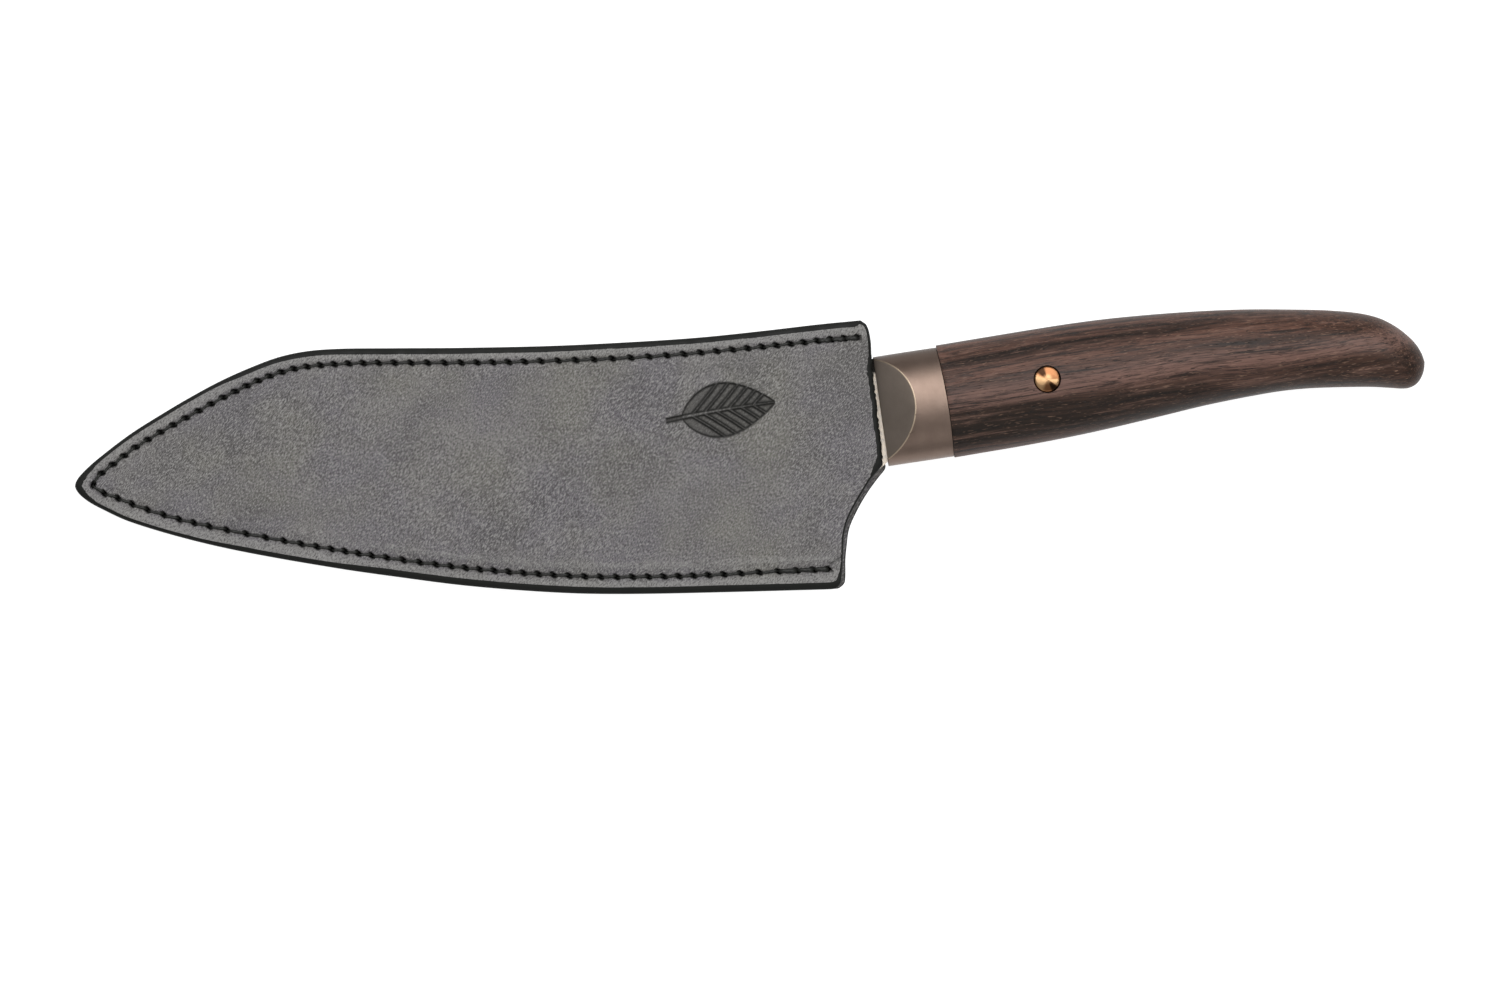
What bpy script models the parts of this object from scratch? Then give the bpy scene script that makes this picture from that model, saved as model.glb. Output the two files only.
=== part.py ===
"""Chef's knife with an 18 cm blade, pushed fully into a saddle-stitched leather sheath.

Sizes are in millimetres and become metres as each mesh is made. The drawing plane is the blade's middle
plane: X runs along the straight blade back, which is the way the knife is drawn, Y towards the blade
back, Z out of the front panel. An empty lays everything down on z = 0, resting on the sheath's tip and on
the belly of the handle. The knife's pieces hang from a second empty, on the line that the knife slides
along, and those built along the handle from a third, turned with the handle.
"""

import math

import bmesh
import bpy
from mathutils import Vector
from mathutils.geometry import delaunay_2d_cdt

# Leather
WELT_HALF = 1.5  # half the thickness of the packing strips, and so of the pocket
PANEL = 2.2  # thickness of each panel
GLUE = 0.08  # glue line between two layers
EDGE_ROUND = 0.9  # how far the burnished edges are rounded over
BLADE_ROOM = 0.45  # gap between blade and packing strips, all round

# Stitching. STITCHES holds the stitch length at some distances along the seam, marked out by hand
STITCHES = [
    (0.0, 3.3), (18.0, 3.5), (58.0, 4.6), (88.0, 3.9), (106.0, 4.2), (125.0, 3.6), (149.0, 3.1),
    (165.0, 3.6), (198.0, 3.6), (210.0, 4.2), (221.0, 3.8), (233.0, 5.0), (262.0, 3.3), (273.0, 4.2),
    (290.0, 3.6), (328.0, 4.0), (348.0, 3.7), (366.0, 4.8), (379.0, 3.6),
]
GROOVE_HALF = 0.75
GROOVE_DEPTH = 0.85
SLIT_LONG = 1.2
SLIT_WIDE = 0.62
SLIT_TURN = math.radians(40)
THREAD_WIDE = 0.62
THREAD_HIGH = 0.52
LEG_WIDE = 0.38

# Knife
HANDLE_TURN = math.radians(6.2)  # the handle rises from the blade back by this much
BLADE_THICK = 2.5
EDGE_THICK = 0.3
TANG_LONG = 78.0
COLLAR_FACE = -0.2  # where the collar's front face lies along the handle
COLLAR_HALF = 8.8  # half thickness of the bronze collar
JOINT_AT = 15.4  # where collar and wood meet, at the handle's top line
JOINT_LEAN = 0.023
JOINT_DOME = 0.55
TANG_ROOM = 0.12
BED_ROOM = 0.08
FACET_START = 3.4  # half thickness left at the collar's front face, between the two facets
FACET_SLOPE = 0.638
PIN_AT = (41.1, 2.0)  # along and across the handle
PIN_RADIUS = 3.2
PIN_ROOM = 0.12
PIN_SHOULDER = 9.5  # the pin's rim sits just under the wood on each side
PIN_DOME = 0.7

# The sheath's outline: from the mouth's back corner along the back, round the tip, along the edge side
OUTLINE = [
    (-4.4, 22.5), (-14.2, 21.9), (-29.0, 20.7), (-43.7, 19.7), (-58.4, 19.2), (-80.0, 18.9),
    (-102.6, 19.2), (-120.0, 19.7), (-132.0, 20.0), (-140.0, 19.7), (-147.0, 18.5), (-154.0, 16.2),
    (-161.6, 13.1), (-169.1, 9.4), (-176.6, 5.3), (-184.1, 0.9), (-191.6, -4.4), (-195.5, -7.6),
    (-197.5, -9.8), (-198.1, -11.4), (-197.4, -13.0), (-195.3, -15.0), (-192.1, -17.0),
    (-184.9, -20.6), (-170.3, -25.5), (-155.7, -29.3), (-133.8, -33.9), (-119.2, -36.5),
    (-104.6, -38.9), (-89.9, -40.7), (-75.3, -42.0), (-60.6, -42.6), (-40.0, -42.9), (-14.4, -43.1),
]
# The mouth, from its edge-side corner up to its back corner. The front panel is cut shorter low down.
MOUTH_BACK = [
    (-12.0, -43.0), (-10.6, -41.8), (-10.25, -40.0), (-10.1, -36.0), (-9.7, -32.8), (-8.9, -28.4),
    (-6.8, -24.0), (-4.1, -19.7), (-1.3, -16.1), (0.1, -14.5), (0.55, -13.6), (0.3, -12.3),
    (-0.4, -6.6), (-1.3, 4.3), (-2.0, 14.0), (-2.0, 17.0), (-2.4, 19.9), (-3.0, 21.6),
]
MOUTH_FRONT = [
    (-12.7, -43.0), (-11.5, -41.8), (-11.1, -39.6), (-10.6, -34.4), (-10.1, -29.5), (-8.8, -25.6),
    (-6.1, -20.9), (-3.1, -16.4), (-0.9, -13.9), (-0.1, -12.6), (-0.45, -6.6), (-1.3, 4.3),
    (-2.0, 14.0), (-2.05, 17.0), (-2.45, 19.9), (-3.05, 21.5),
]
SEAM_CORNER = (-193.6, -11.2)
# The seam, from the mouth along the back, round the tip and along the edge side
SEAM = [
    (-5.3, 18.3), (-12.6, 18.0), (-19.0, 17.5), (-33.5, 16.5), (-50.2, 15.6), (-65.0, 15.2),
    (-95.0, 15.3), (-126.0, 16.2), (-136.7, 16.1), (-144.1, 15.3), (-151.1, 13.3), (-160.0, 9.5),
    (-171.0, 4.0), (-182.2, -2.0), (-188.3, -6.2), (-191.8, -8.8), (-193.6, -11.2),
    (-192.0, -12.9), (-188.0, -14.6), (-180.8, -17.7), (-169.7, -21.3), (-150.0, -26.0),
    (-125.0, -31.1), (-100.0, -35.2), (-75.0, -37.8), (-58.0, -38.5), (-44.3, -38.6),
    (-27.6, -38.3), (-14.4, -38.2),
]
# The blade: back from collar to tip, cutting edge from tip to heel, then the choil up to the collar
BLADE_BACK = [
    (-25.0, 13.0), (-60.0, 13.0), (-95.0, 12.9), (-118.0, 12.2), (-138.0, 9.9), (-155.0, 5.8),
    (-168.0, 0.8), (-178.0, -4.4), (-187.0, -11.2),
]
BLADE_EDGE = [
    (-183.5, -13.6), (-177.0, -15.9), (-165.0, -18.9), (-150.0, -22.1), (-134.0, -25.3),
    (-119.0, -28.0), (-104.0, -30.4), (-90.0, -32.2), (-75.0, -33.6), (-60.0, -34.4),
    (-45.0, -34.8), (-30.0, -35.0), (-12.6, -35.1),
]
CHOIL = [(-11.8, -34.6), (-11.2, -31.0), (-10.0, -26.3), (-7.4, -21.4), (-4.2, -16.8), (-1.7, -14.3)]

# The handle's top and bottom lines, along and across its own axis, from the collar's face to the butt
COLLAR_TOP = [(-0.17, 13.5), (7.0, 13.62), (15.5, 13.66)]
COLLAR_BOTTOM = [(-0.17, -13.52), (8.0, -13.47), (16.2, -13.4)]
WOOD_TOP = [
    (15.4, 14.16), (24.0, 14.34), (39.0, 14.65), (50.0, 14.76), (61.0, 14.52), (76.0, 13.63),
    (90.6, 12.23), (105.1, 10.12), (112.4, 8.84), (119.6, 7.08), (124.2, 5.17), (127.8, 2.59),
    (130.4, -0.1), (132.1, -2.5), (133.1, -4.9), (133.5, -7.0),
]
WOOD_BOTTOM = [
    (15.4, -13.72), (20.0, -13.6), (35.0, -13.22), (50.0, -12.44), (65.0, -11.16), (80.0, -9.75),
    (95.0, -9.04), (102.4, -9.18), (109.7, -9.85), (119.4, -11.11), (124.2, -12.04),
    (127.1, -12.65), (128.9, -12.7), (130.7, -12.05), (132.0, -10.8), (133.0, -9.0), (133.5, -7.0),
]
WOOD_HALF = [
    (15.4, 9.2), (30.0, 9.9), (50.0, 10.3), (70.0, 9.7), (90.0, 8.9), (105.0, 8.7), (118.0, 8.6),
    (125.0, 7.9), (130.0, 5.9), (132.4, 3.7), (133.3, 1.7), (133.5, 0.0),
]

# Laying it down: pitched so that the sheath's tip and the handle's belly touch the table
PITCH = math.radians(1.55)
SHIFT = (32.36, 10.3, 9.11)
MM = 0.001
SHARP = math.radians(35)  # round pieces are shaded smooth up to this angle between faces

# Colour, roughness and metallic value of each material
STEEL = ("steel", (0.62, 0.62, 0.61), 0.3, 1.0)
BRONZE = ("bronze", (0.42, 0.33, 0.27), 0.38, 1.0)
ROSEWOOD = ("rosewood", (0.16, 0.1, 0.08), 0.42, 0.0)
COPPER = ("copper", (0.8, 0.45, 0.25), 0.2, 1.0)
RESIN = ("resin", (0.12, 0.1, 0.09), 0.5, 0.0)
LEATHER = ("leather", (0.17, 0.165, 0.16), 0.55, 0.0)
THREAD = ("waxed thread", (0.02, 0.02, 0.02), 0.6, 0.0)


# ---------------------------------------------------------------- lines


def curve(points, step=0.6):
    """A smooth line through the points, as closely spaced points."""
    ends = [points[0]] + list(points) + [points[-1]]
    line = []
    for i in range(1, len(ends) - 2):
        p0, p1, p2, p3 = (Vector(p) for p in ends[i - 1 : i + 3])
        span = (p2 - p1).length
        count = max(2, int(span / step))
        before = max((p1 - p0).length, 1e-6)
        after = max((p3 - p2).length, 1e-6)
        turn1 = (p2 - p0) / (before + span) if i > 1 else (p2 - p1) / span
        turn2 = (p3 - p1) / (span + after) if i < len(ends) - 3 else (p2 - p1) / span
        for k in range(count):
            t = k / count
            a = 2 * t**3 - 3 * t**2 + 1
            b = t**3 - 2 * t**2 + t
            c = 3 * t**2 - 2 * t**3
            d = t**3 - t**2
            line.append(a * p1 + b * span * turn1 + c * p2 + d * span * turn2)
    line.append(Vector(points[-1]))
    return line


def thin(line, slack):
    """The same line with the points left out that lie within slack of a straight run."""
    if len(line) < 3:
        return list(line)
    a, b = line[0], line[-1]
    run = (b - a).normalized()
    far, worst = 0, 0.0
    for i in range(1, len(line) - 1):
        off = abs(run.x * (line[i].y - a.y) - run.y * (line[i].x - a.x))
        if off > worst:
            far, worst = i, off
    if worst <= slack:
        return [a, b]
    return thin(line[: far + 1], slack)[:-1] + thin(line[far:], slack)


def lengths(line):
    """Distance along the line at each of its points."""
    run = [0.0]
    for a, b in zip(line, line[1:]):
        run.append(run[-1] + (b - a).length)
    return run


def place(line, run, s):
    """The point at distance s along the line, and the direction there."""
    s = min(max(s, 0.0), run[-1])
    i = 1
    while i < len(run) - 1 and run[i] < s:
        i += 1
    a, b = line[i - 1], line[i]
    return a.lerp(b, (s - run[i - 1]) / (run[i] - run[i - 1])), (b - a).normalized()


def stretch(line, start, end):
    """The piece of the line between two distances along it."""
    run = lengths(line)
    inner = [p for p, s in zip(line, run) if start + 0.05 < s < end - 0.05]
    return [place(line, run, start)[0]] + inner + [place(line, run, end)[0]]


def nearest(line, point):
    """Distance along the line of its point closest to the one given."""
    run = lengths(line)
    spans = [(p - point).length for p in line]
    return run[spans.index(min(spans))]


def at(pairs, x):
    """Smooth reading of a table of (x, value) pairs."""
    if x <= pairs[0][0]:
        return pairs[0][1]
    for i in range(len(pairs) - 1):
        x0, y0 = pairs[i]
        x1, y1 = pairs[i + 1]
        if x <= x1:
            slope = (y1 - y0) / (x1 - x0)
            xa, ya = pairs[max(i - 1, 0)]
            xb, yb = pairs[min(i + 2, len(pairs) - 1)]
            left = (y1 - ya) / (x1 - xa) if i > 0 else slope
            right = (yb - y0) / (xb - x0) if i + 2 < len(pairs) else slope
            t = (x - x0) / (x1 - x0)
            w = x1 - x0
            rise = (2 * t**3 - 3 * t**2 + 1) * y0 + (3 * t**2 - 2 * t**3) * y1
            return rise + (t**3 - 2 * t**2 + t) * w * left + (t**3 - t**2) * w * right
    return pairs[-1][1]


def offset(loop, distance):
    """A closed counter-clockwise loop moved inwards by a small distance."""
    moved = []
    count = len(loop)
    for i in range(count):
        a = (loop[i] - loop[i - 1]).normalized()
        b = (loop[(i + 1) % count] - loop[i]).normalized()
        n = Vector((-(a.y + b.y), a.x + b.x)).normalized()
        square = max(n.dot(Vector((-a.y, a.x))), 0.5)
        moved.append(loop[i] + n * (distance / square))
    return moved


def from_handle(u, v):
    """A point given along and across the handle, in the blade's plane."""
    c, s = math.cos(HANDLE_TURN), math.sin(HANDLE_TURN)
    return Vector((u * c - v * s, u * s + v * c))


# ---------------------------------------------------------------- bodies


def clear_scene():
    for old in list(bpy.data.objects):
        bpy.data.objects.remove(old, do_unlink=True)


def empty(name, parent=None, location=(0.0, 0.0, 0.0), rotation=(0.0, 0.0, 0.0)):
    """An empty that carries pieces."""
    holder = bpy.data.objects.new(name, None)
    holder.parent = parent
    holder.location = Vector(location) * MM
    holder.rotation_euler = rotation
    bpy.context.scene.collection.objects.link(holder)
    return holder


def material(name, colour, roughness, metallic):
    """The named material, made on first use."""
    look = bpy.data.materials.get(name)
    if look is None:
        look = bpy.data.materials.new(name)
        look.use_nodes = True
        shader = look.node_tree.nodes["Principled BSDF"]
        shader.inputs["Base Color"].default_value = (*colour, 1.0)
        shader.inputs["Roughness"].default_value = roughness
        shader.inputs["Metallic"].default_value = metallic
    return look


def body(name, shape, parent, look=None, smooth=False):
    """One closed body under its parent empty. Without a look it is a cutter."""
    work = bmesh.new()
    made = [work.verts.new(Vector(v) * MM) for v in shape.verts]
    for face in shape.faces:
        work.faces.new([made[i] for i in face])
    bmesh.ops.recalc_face_normals(work, faces=work.faces)
    mesh = bpy.data.meshes.new(name)
    work.to_mesh(mesh)
    work.free()
    if smooth:
        mesh.shade_smooth()
        mesh.set_sharp_from_angle(angle=SHARP)
    thing = bpy.data.objects.new(name, mesh)
    thing.parent = parent
    bpy.context.scene.collection.objects.link(thing)
    if look:
        mesh.materials.append(material(*look))
    else:
        thing.hide_render = True
        thing.display_type = "WIRE"
    return thing


def cut(thing, cutter):
    """Take the cutter out of the thing."""
    step = thing.modifiers.new("cut " + cutter.name, "BOOLEAN")
    step.operation = "DIFFERENCE"
    step.solver = "EXACT"
    step.object = cutter


class Shell:
    """Points and faces of one closed body, made of flat layers and the walls between them."""

    def __init__(self):
        self.verts = []
        self.faces = []

    def ring(self, loop, z):
        first = len(self.verts)
        self.verts += [(p[0], p[1], z) for p in loop]
        return list(range(first, len(self.verts)))

    def wall(self, low, high):
        for i in range(len(low)):
            j = (i + 1) % len(low)
            self.faces.append((low[i], low[j], high[j], high[i]))

    def cap(self, outer, holes=()):
        """Fill a flat loop, leaving its holes open."""
        loops = [outer] + list(holes)
        points = []
        numbers = []
        places = []
        for loop in loops:
            places.append(list(range(len(points), len(points) + len(loop))))
            points += [Vector(self.verts[i][:2]) for i in loop]
            numbers += loop
        found = delaunay_2d_cdt(points, [], places, 1, 1e-6)
        origin = [numbers[group[0]] for group in found[3]]
        for face, inside in zip(found[2], found[5]):
            if list(inside) == [0]:
                self.faces.append(tuple(origin[i] for i in face))


# ---------------------------------------------------------------- layout


def sheath_outline(mouth):
    """The closed outline of a panel with this mouth."""
    side = thin(curve(OUTLINE), 0.05)
    front = thin(curve(mouth, 0.4), 0.04)
    return side + front


def stitch_places():
    """Where each hole is, and which way the seam runs there; one hole sits on the seam's corner."""
    line = curve(SEAM)
    run = lengths(line)
    marks = [0.0]
    for end in (nearest(line, Vector(SEAM_CORNER)), run[-1]):
        start = marks[-1]
        leg = [start]
        while leg[-1] < end:
            leg.append(leg[-1] + at(STITCHES, leg[-1]))
        fit = (end - start) / (leg[-1] - start)
        marks += [start + (s - start) * fit for s in leg[1:]]
    return [place(line, run, s) for s in marks]


def groove_loop():
    """The border of the groove that the thread lies in."""
    line = curve(SEAM)
    start = (line[0] - line[1]).normalized()
    end = (line[-1] - line[-2]).normalized()
    line = thin([line[0] + start * 1.1] + line[1:-1] + [line[-1] + end * 1.1], 0.03)
    left = []
    right = []
    for i, p in enumerate(line):
        a = (p - line[i - 1]).normalized() if i else (line[1] - p).normalized()
        b = (line[i + 1] - p).normalized() if i < len(line) - 1 else a
        n = Vector((-(a.y + b.y), a.x + b.x)).normalized()
        left.append(p + n * GROOVE_HALF)
        right.append(p - n * GROOVE_HALF)
    return right + left[::-1]


def slit(spot, way, long, wide, turn):
    """A four-sided stitch hole."""
    c, s = math.cos(turn), math.sin(turn)
    along = Vector((way.x * c - way.y * s, way.x * s + way.y * c))
    across = Vector((-along.y, along.x))
    a, b = along * (long / 2), across * (wide / 2)
    return [spot - a - b, spot + a - b, spot + a + b, spot - a + b]


def panel(name, mouth, side, parent):
    """A leather panel: rounded outer edge, stitching groove and a slit for every stitch."""
    outline = sheath_outline(mouth)
    inner_z = WELT_HALF + GLUE
    outer_z = inner_z + PANEL
    shell = Shell()
    base = shell.ring(outline, side * inner_z)
    shoulder = shell.ring(outline, side * (outer_z - EDGE_ROUND))
    bend = shell.ring(offset(outline, EDGE_ROUND * 0.3), side * (outer_z - EDGE_ROUND * 0.3))
    rim = shell.ring(offset(outline, EDGE_ROUND), side * outer_z)
    shell.wall(base, shoulder)
    shell.wall(shoulder, bend)
    shell.wall(bend, rim)
    groove = groove_loop()
    groove_top = shell.ring(groove, side * outer_z)
    groove_floor = shell.ring(groove, side * (outer_z - GROOVE_DEPTH))
    shell.wall(groove_top, groove_floor)
    shell.cap(rim, [groove_top])
    slits = [slit(spot, way, SLIT_LONG, SLIT_WIDE, SLIT_TURN) for spot, way in stitch_places()]
    high = [shell.ring(loop, side * (outer_z - GROOVE_DEPTH)) for loop in slits]
    low = [shell.ring(loop, side * inner_z) for loop in slits]
    shell.cap(groove_floor, high)
    shell.cap(base, low)
    for top, bottom in zip(high, low):
        shell.wall(top, bottom)
    return body(name, shell, parent, LEATHER)


def welts(parent):
    """Two packing strips that fill the gap between the panels around the blade."""
    outline = curve(OUTLINE) + curve(MOUTH_FRONT, 0.4)[:2]
    back = [Vector(p) for p in ((-2.0, 13.0), (-12.0, 13.0))] + curve(BLADE_BACK)
    low = curve([BLADE_BACK[-1]] + BLADE_EDGE)[1:] + [Vector((-11.0, -35.1))]
    room = []
    blade = back + low
    for i, p in enumerate(blade):
        a = blade[min(i + 1, len(blade) - 1)] - blade[max(i - 1, 0)]
        n = Vector((a.y, -a.x)).normalized()
        room.append(p + n * BLADE_ROOM)
    spots = stitch_places()
    near = min(range(len(spots)), key=lambda k: (spots[k][0] - Vector(SEAM_CORNER)).length)
    split = (spots[near][0] + spots[near + 1][0]) / 2
    seam_way = (spots[near + 1][0] - spots[near][0]).normalized()
    out_at = nearest(outline, split)
    in_at = nearest(room, split)
    back_outer = thin(stretch(outline, 0.0, out_at - 0.1), 0.06)
    back_inner = thin(stretch(room, 0.0, in_at - 0.1), 0.06)
    edge_outer = thin(stretch(outline, out_at + 0.1, lengths(outline)[-1]), 0.06)
    edge_inner = thin(stretch(room, in_at + 0.1, lengths(room)[-1]), 0.06)
    back_loop = back_outer + [split - seam_way * 0.1] + back_inner[::-1]
    edge_loop = edge_outer + edge_inner[::-1] + [split + seam_way * 0.1]
    for name, loop, holes in (
        ("spine_welt", back_loop, spots[: near + 1]),
        ("edge_welt", edge_loop, spots[near + 1 :]),
    ):
        shell = Shell()
        bottom = shell.ring(loop, -WELT_HALF)
        top = shell.ring(loop, WELT_HALF)
        shell.wall(bottom, top)
        squares = [slit(spot, way, 0.8, 0.8, 0.0) for spot, way in holes]
        low_holes = [shell.ring(square, -WELT_HALF) for square in squares]
        high_holes = [shell.ring(square, WELT_HALF) for square in squares]
        shell.cap(bottom, low_holes)
        shell.cap(top, high_holes)
        for a, b in zip(low_holes, high_holes):
            shell.wall(a, b)
        body(name, shell, parent, LEATHER)


def thread(parent):
    """One thread body: a run in each groove, joined by a leg through every hole."""
    spots = stitch_places()
    deep = WELT_HALF + GLUE + PANEL - GROOVE_DEPTH + 0.05
    shell = Shell()
    runs = []
    for side in (1, -1):
        low, high = side * deep, side * (deep + THREAD_HIGH)
        rings = []
        legs = []
        for spot, way in spots:
            across = Vector((-way.y, way.x)) * (THREAD_WIDE / 2)
            for step in (-1, 1):
                at_end = spot + way * (step * THREAD_WIDE / 2)
                rings.append(
                    shell.ring([at_end - across, at_end + across], low)
                    + shell.ring([at_end + across, at_end - across], high)
                )
            legs.append(shell.ring(slit(spot, way, LEG_WIDE, LEG_WIDE, 0.0), low))
        for k in range(len(rings) - 1):
            a, b = rings[k], rings[k + 1]
            for i in range(4):
                j = (i + 1) % 4
                if i == 0 and k % 2 == 0:
                    continue
                shell.faces.append((a[i], a[j], b[j], b[i]))
        for k, leg in enumerate(legs):
            a, b = rings[2 * k], rings[2 * k + 1]
            border = [a[0], b[0], b[1], a[1]]
            shell.wall(border, leg)
        shell.faces.append(tuple(rings[0]))
        shell.faces.append(tuple(rings[-1]))
        runs.append(legs)
    for front, back in zip(*runs):
        shell.wall(front, back)
    body("seam_thread", shell, parent, THREAD)


# ---------------------------------------------------------------- knife


def tang_half(u):
    """Half the tang's height at a distance along the handle."""
    return 7.4 - 3.0 * max(u, 0.0) / TANG_LONG


def tang_middle(u):
    """Height of the tang's middle line, which follows the handle's own."""
    return (at(WOOD_TOP, max(u, 15.4)) + at(WOOD_BOTTOM, max(u, 15.4))) / 2


def tang_line(extra, start, end, steps=7):
    """The tang's border made larger by extra, in the handle's own directions: bottom out, top back."""
    us = [start + (end - start) * k / steps for k in range(steps + 1)]
    bottom = [(u, tang_middle(u) - tang_half(u) - extra) for u in us]
    top = [(u, tang_middle(u) + tang_half(u) + extra) for u in us]
    return bottom + top[::-1]


def blade(parent):
    """Blade and tang in one: hollow-free flat grind from the back down to the cutting edge."""
    low_corner = from_handle(-0.25, -12.9)
    top_corner = from_handle(-0.25, 12.9)
    back = thin(curve(BLADE_BACK), 0.05)
    edge = thin(curve([BLADE_BACK[-1]] + BLADE_EDGE), 0.05)[1:]
    choil = thin(curve(CHOIL), 0.05)
    tang = [from_handle(u, v) for u, v in tang_line(0.0, -0.25, TANG_LONG)]
    outline = [top_corner] + back + edge + choil + [low_corner] + tang
    edge_pairs = [(p[0], p[1]) for p in [BLADE_BACK[-1]] + BLADE_EDGE] + [(0.0, -35.0)]
    back_pairs = [(p[0], p[1]) for p in BLADE_BACK[::-1]] + [(0.0, 13.0)]

    def half(p):
        """Half thickness: thinner towards the tip, and down to the edge."""
        if p[0] > -1.0:
            return BLADE_THICK / 2
        spine = BLADE_THICK * (1.0 - 0.62 * min(max((-p[0] - 20.0) / 167.0, 0.0), 1.0) ** 1.6)
        low = at(edge_pairs, p[0])
        high = at(back_pairs, p[0])
        up = min(max((p[1] - low) / max(high - low, 2.0), 0.0), 1.0)
        flat = (EDGE_THICK + (spine - EDGE_THICK) * up) / 2
        ease = min(max((-p[0] - 1.0) / 14.0, 0.0), 1.0)
        return flat * ease + BLADE_THICK / 2 * (1.0 - ease)

    inner = []
    for i in range(1, 15):
        x = -8.0 - 12.2 * (i - 1)
        low, high = at(edge_pairs, x), at(back_pairs, x)
        for k in range(1, 4):
            inner.append(Vector((x, low + (high - low) * k / 4)))
    middle = from_handle(*PIN_AT)
    hole = []
    for k in range(20):
        turn = 2 * math.pi * k / 20
        hole.append(middle + Vector((math.cos(turn), math.sin(turn))) * (PIN_RADIUS + PIN_ROOM))
    points = outline + hole + inner
    count = len(outline)
    places = [list(range(count)), list(range(count, count + 20))]
    found = delaunay_2d_cdt(points, [], places, 1, 1e-6)
    origin = [group[0] for group in found[3]]
    shell = Shell()
    shell.verts = [(p[0], p[1], half(p)) for p in points] + [(p[0], p[1], -half(p)) for p in points]
    shift = len(points)
    for face, inside in zip(found[2], found[5]):
        if list(inside) != [0]:
            continue
        numbers = [origin[i] for i in face]
        shell.faces.append(tuple(numbers))
        shell.faces.append(tuple(i + shift for i in numbers[::-1]))
    for loop in places:
        for i in range(len(loop)):
            a, b = loop[i], loop[(i + 1) % len(loop)]
            shell.faces.append((a, b, b + shift, a + shift))
    body("blade", shell, parent, STEEL)


def joint_shift(v, z):
    """How far the collar's back face lies behind a flat one: it leans a little and is slightly domed."""
    return JOINT_LEAN * (COLLAR_TOP[0][1] - v) + JOINT_DOME * (z / COLLAR_HALF) ** 2


def loft(stations, sides):
    """A solid through oval sections across the handle, each (u, bottom, top, half thickness, at joint)."""
    shell = Shell()
    rings = []
    for u, low, high, half, at_joint in stations:
        middle, rise = (low + high) / 2, (high - low) / 2
        first = len(shell.verts)
        for k in range(sides):
            turn = 2 * math.pi * k / sides
            v = middle + rise * math.cos(turn)
            z = half * math.sin(turn)
            shell.verts.append((u + (joint_shift(v, z) if at_joint else 0.0), v, z))
        rings.append(list(range(first, first + sides)))
    for a, b in zip(rings, rings[1:]):
        shell.wall(a, b)
    for ring in (rings[0], rings[-1]):
        centre = sum((Vector(shell.verts[i]) for i in ring), Vector((0, 0, 0))) / sides
        shell.verts.append(tuple(centre))
        for k in range(sides):
            shell.faces.append((ring[k], ring[(k + 1) % sides], len(shell.verts) - 1))
    return shell


def tang_block(extra, half, start, end):
    """A block shaped like the tang, larger by extra."""
    line = tang_line(extra, start, end)
    shell = Shell()
    low = shell.ring(line, -half)
    high = shell.ring(line, half)
    shell.wall(low, high)
    shell.cap(low)
    shell.cap(high)
    return shell


def collar(along_blade, along_handle):
    """Bronze collar with a facet ground on each side, square to the blade, and a slot for the tang."""
    stations = []
    for u in (COLLAR_FACE, 4.0, 8.0, 12.0):
        stations.append((u, at(COLLAR_BOTTOM, u), at(COLLAR_TOP, u), COLLAR_HALF, False))
    stations.append((JOINT_AT, at(COLLAR_BOTTOM, 16.0), at(COLLAR_TOP, 15.4), COLLAR_HALF, True))
    piece = body("bolster", loft(stations, 48), along_handle, BRONZE, smooth=True)
    ahead, behind = 6.0, 16.0
    for side, word in ((1, "near"), (-1, "far")):
        near = side * (FACET_START - FACET_SLOPE * ahead)
        far = side * (FACET_START + FACET_SLOPE * behind)
        wedge = Shell()
        for y in (-30.0, 30.0):
            wedge.verts += [
                (COLLAR_FACE - ahead, y, near),
                (COLLAR_FACE + behind, y, far),
                (COLLAR_FACE - ahead, y, far),
            ]
        wedge.faces += [(0, 1, 2), (3, 5, 4), (0, 3, 4, 1), (1, 4, 5, 2), (2, 5, 3, 0)]
        cut(piece, body("facet_cutter_" + word, wedge, along_blade))
    slot = tang_block(TANG_ROOM, BLADE_THICK / 2 + TANG_ROOM, -3.0, 22.0)
    cut(piece, body("collar_slot_cutter", slot, along_handle))


def pin_shape(radius, reach, dome):
    """A cross pin: a cylinder with a low dome on each end."""
    sides = 28
    shell = Shell()
    low, high = -reach, reach
    middle = Vector(PIN_AT)
    levels = [(radius, low), (radius, high)]
    if dome:
        rise = [(0.93, 0.35), (0.72, 0.72), (0.42, 0.92)]
        levels = [(radius * a, low - dome * b) for a, b in rise[::-1]] + levels
        levels += [(radius * a, high + dome * b) for a, b in rise]
    rings = []
    for r, z in levels:
        loop = []
        for k in range(sides):
            turn = 2 * math.pi * k / sides
            loop.append(middle + Vector((math.cos(turn), math.sin(turn))) * r)
        rings.append(shell.ring(loop, z))
    for a, b in zip(rings, rings[1:]):
        shell.wall(a, b)
    for ring, top in ((rings[0], low - dome), (rings[-1], high + dome)):
        centre = len(shell.verts)
        shell.verts.append((middle.x, middle.y, top))
        for k in range(sides):
            shell.faces.append((ring[k], ring[(k + 1) % sides], centre))
    return shell


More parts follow.
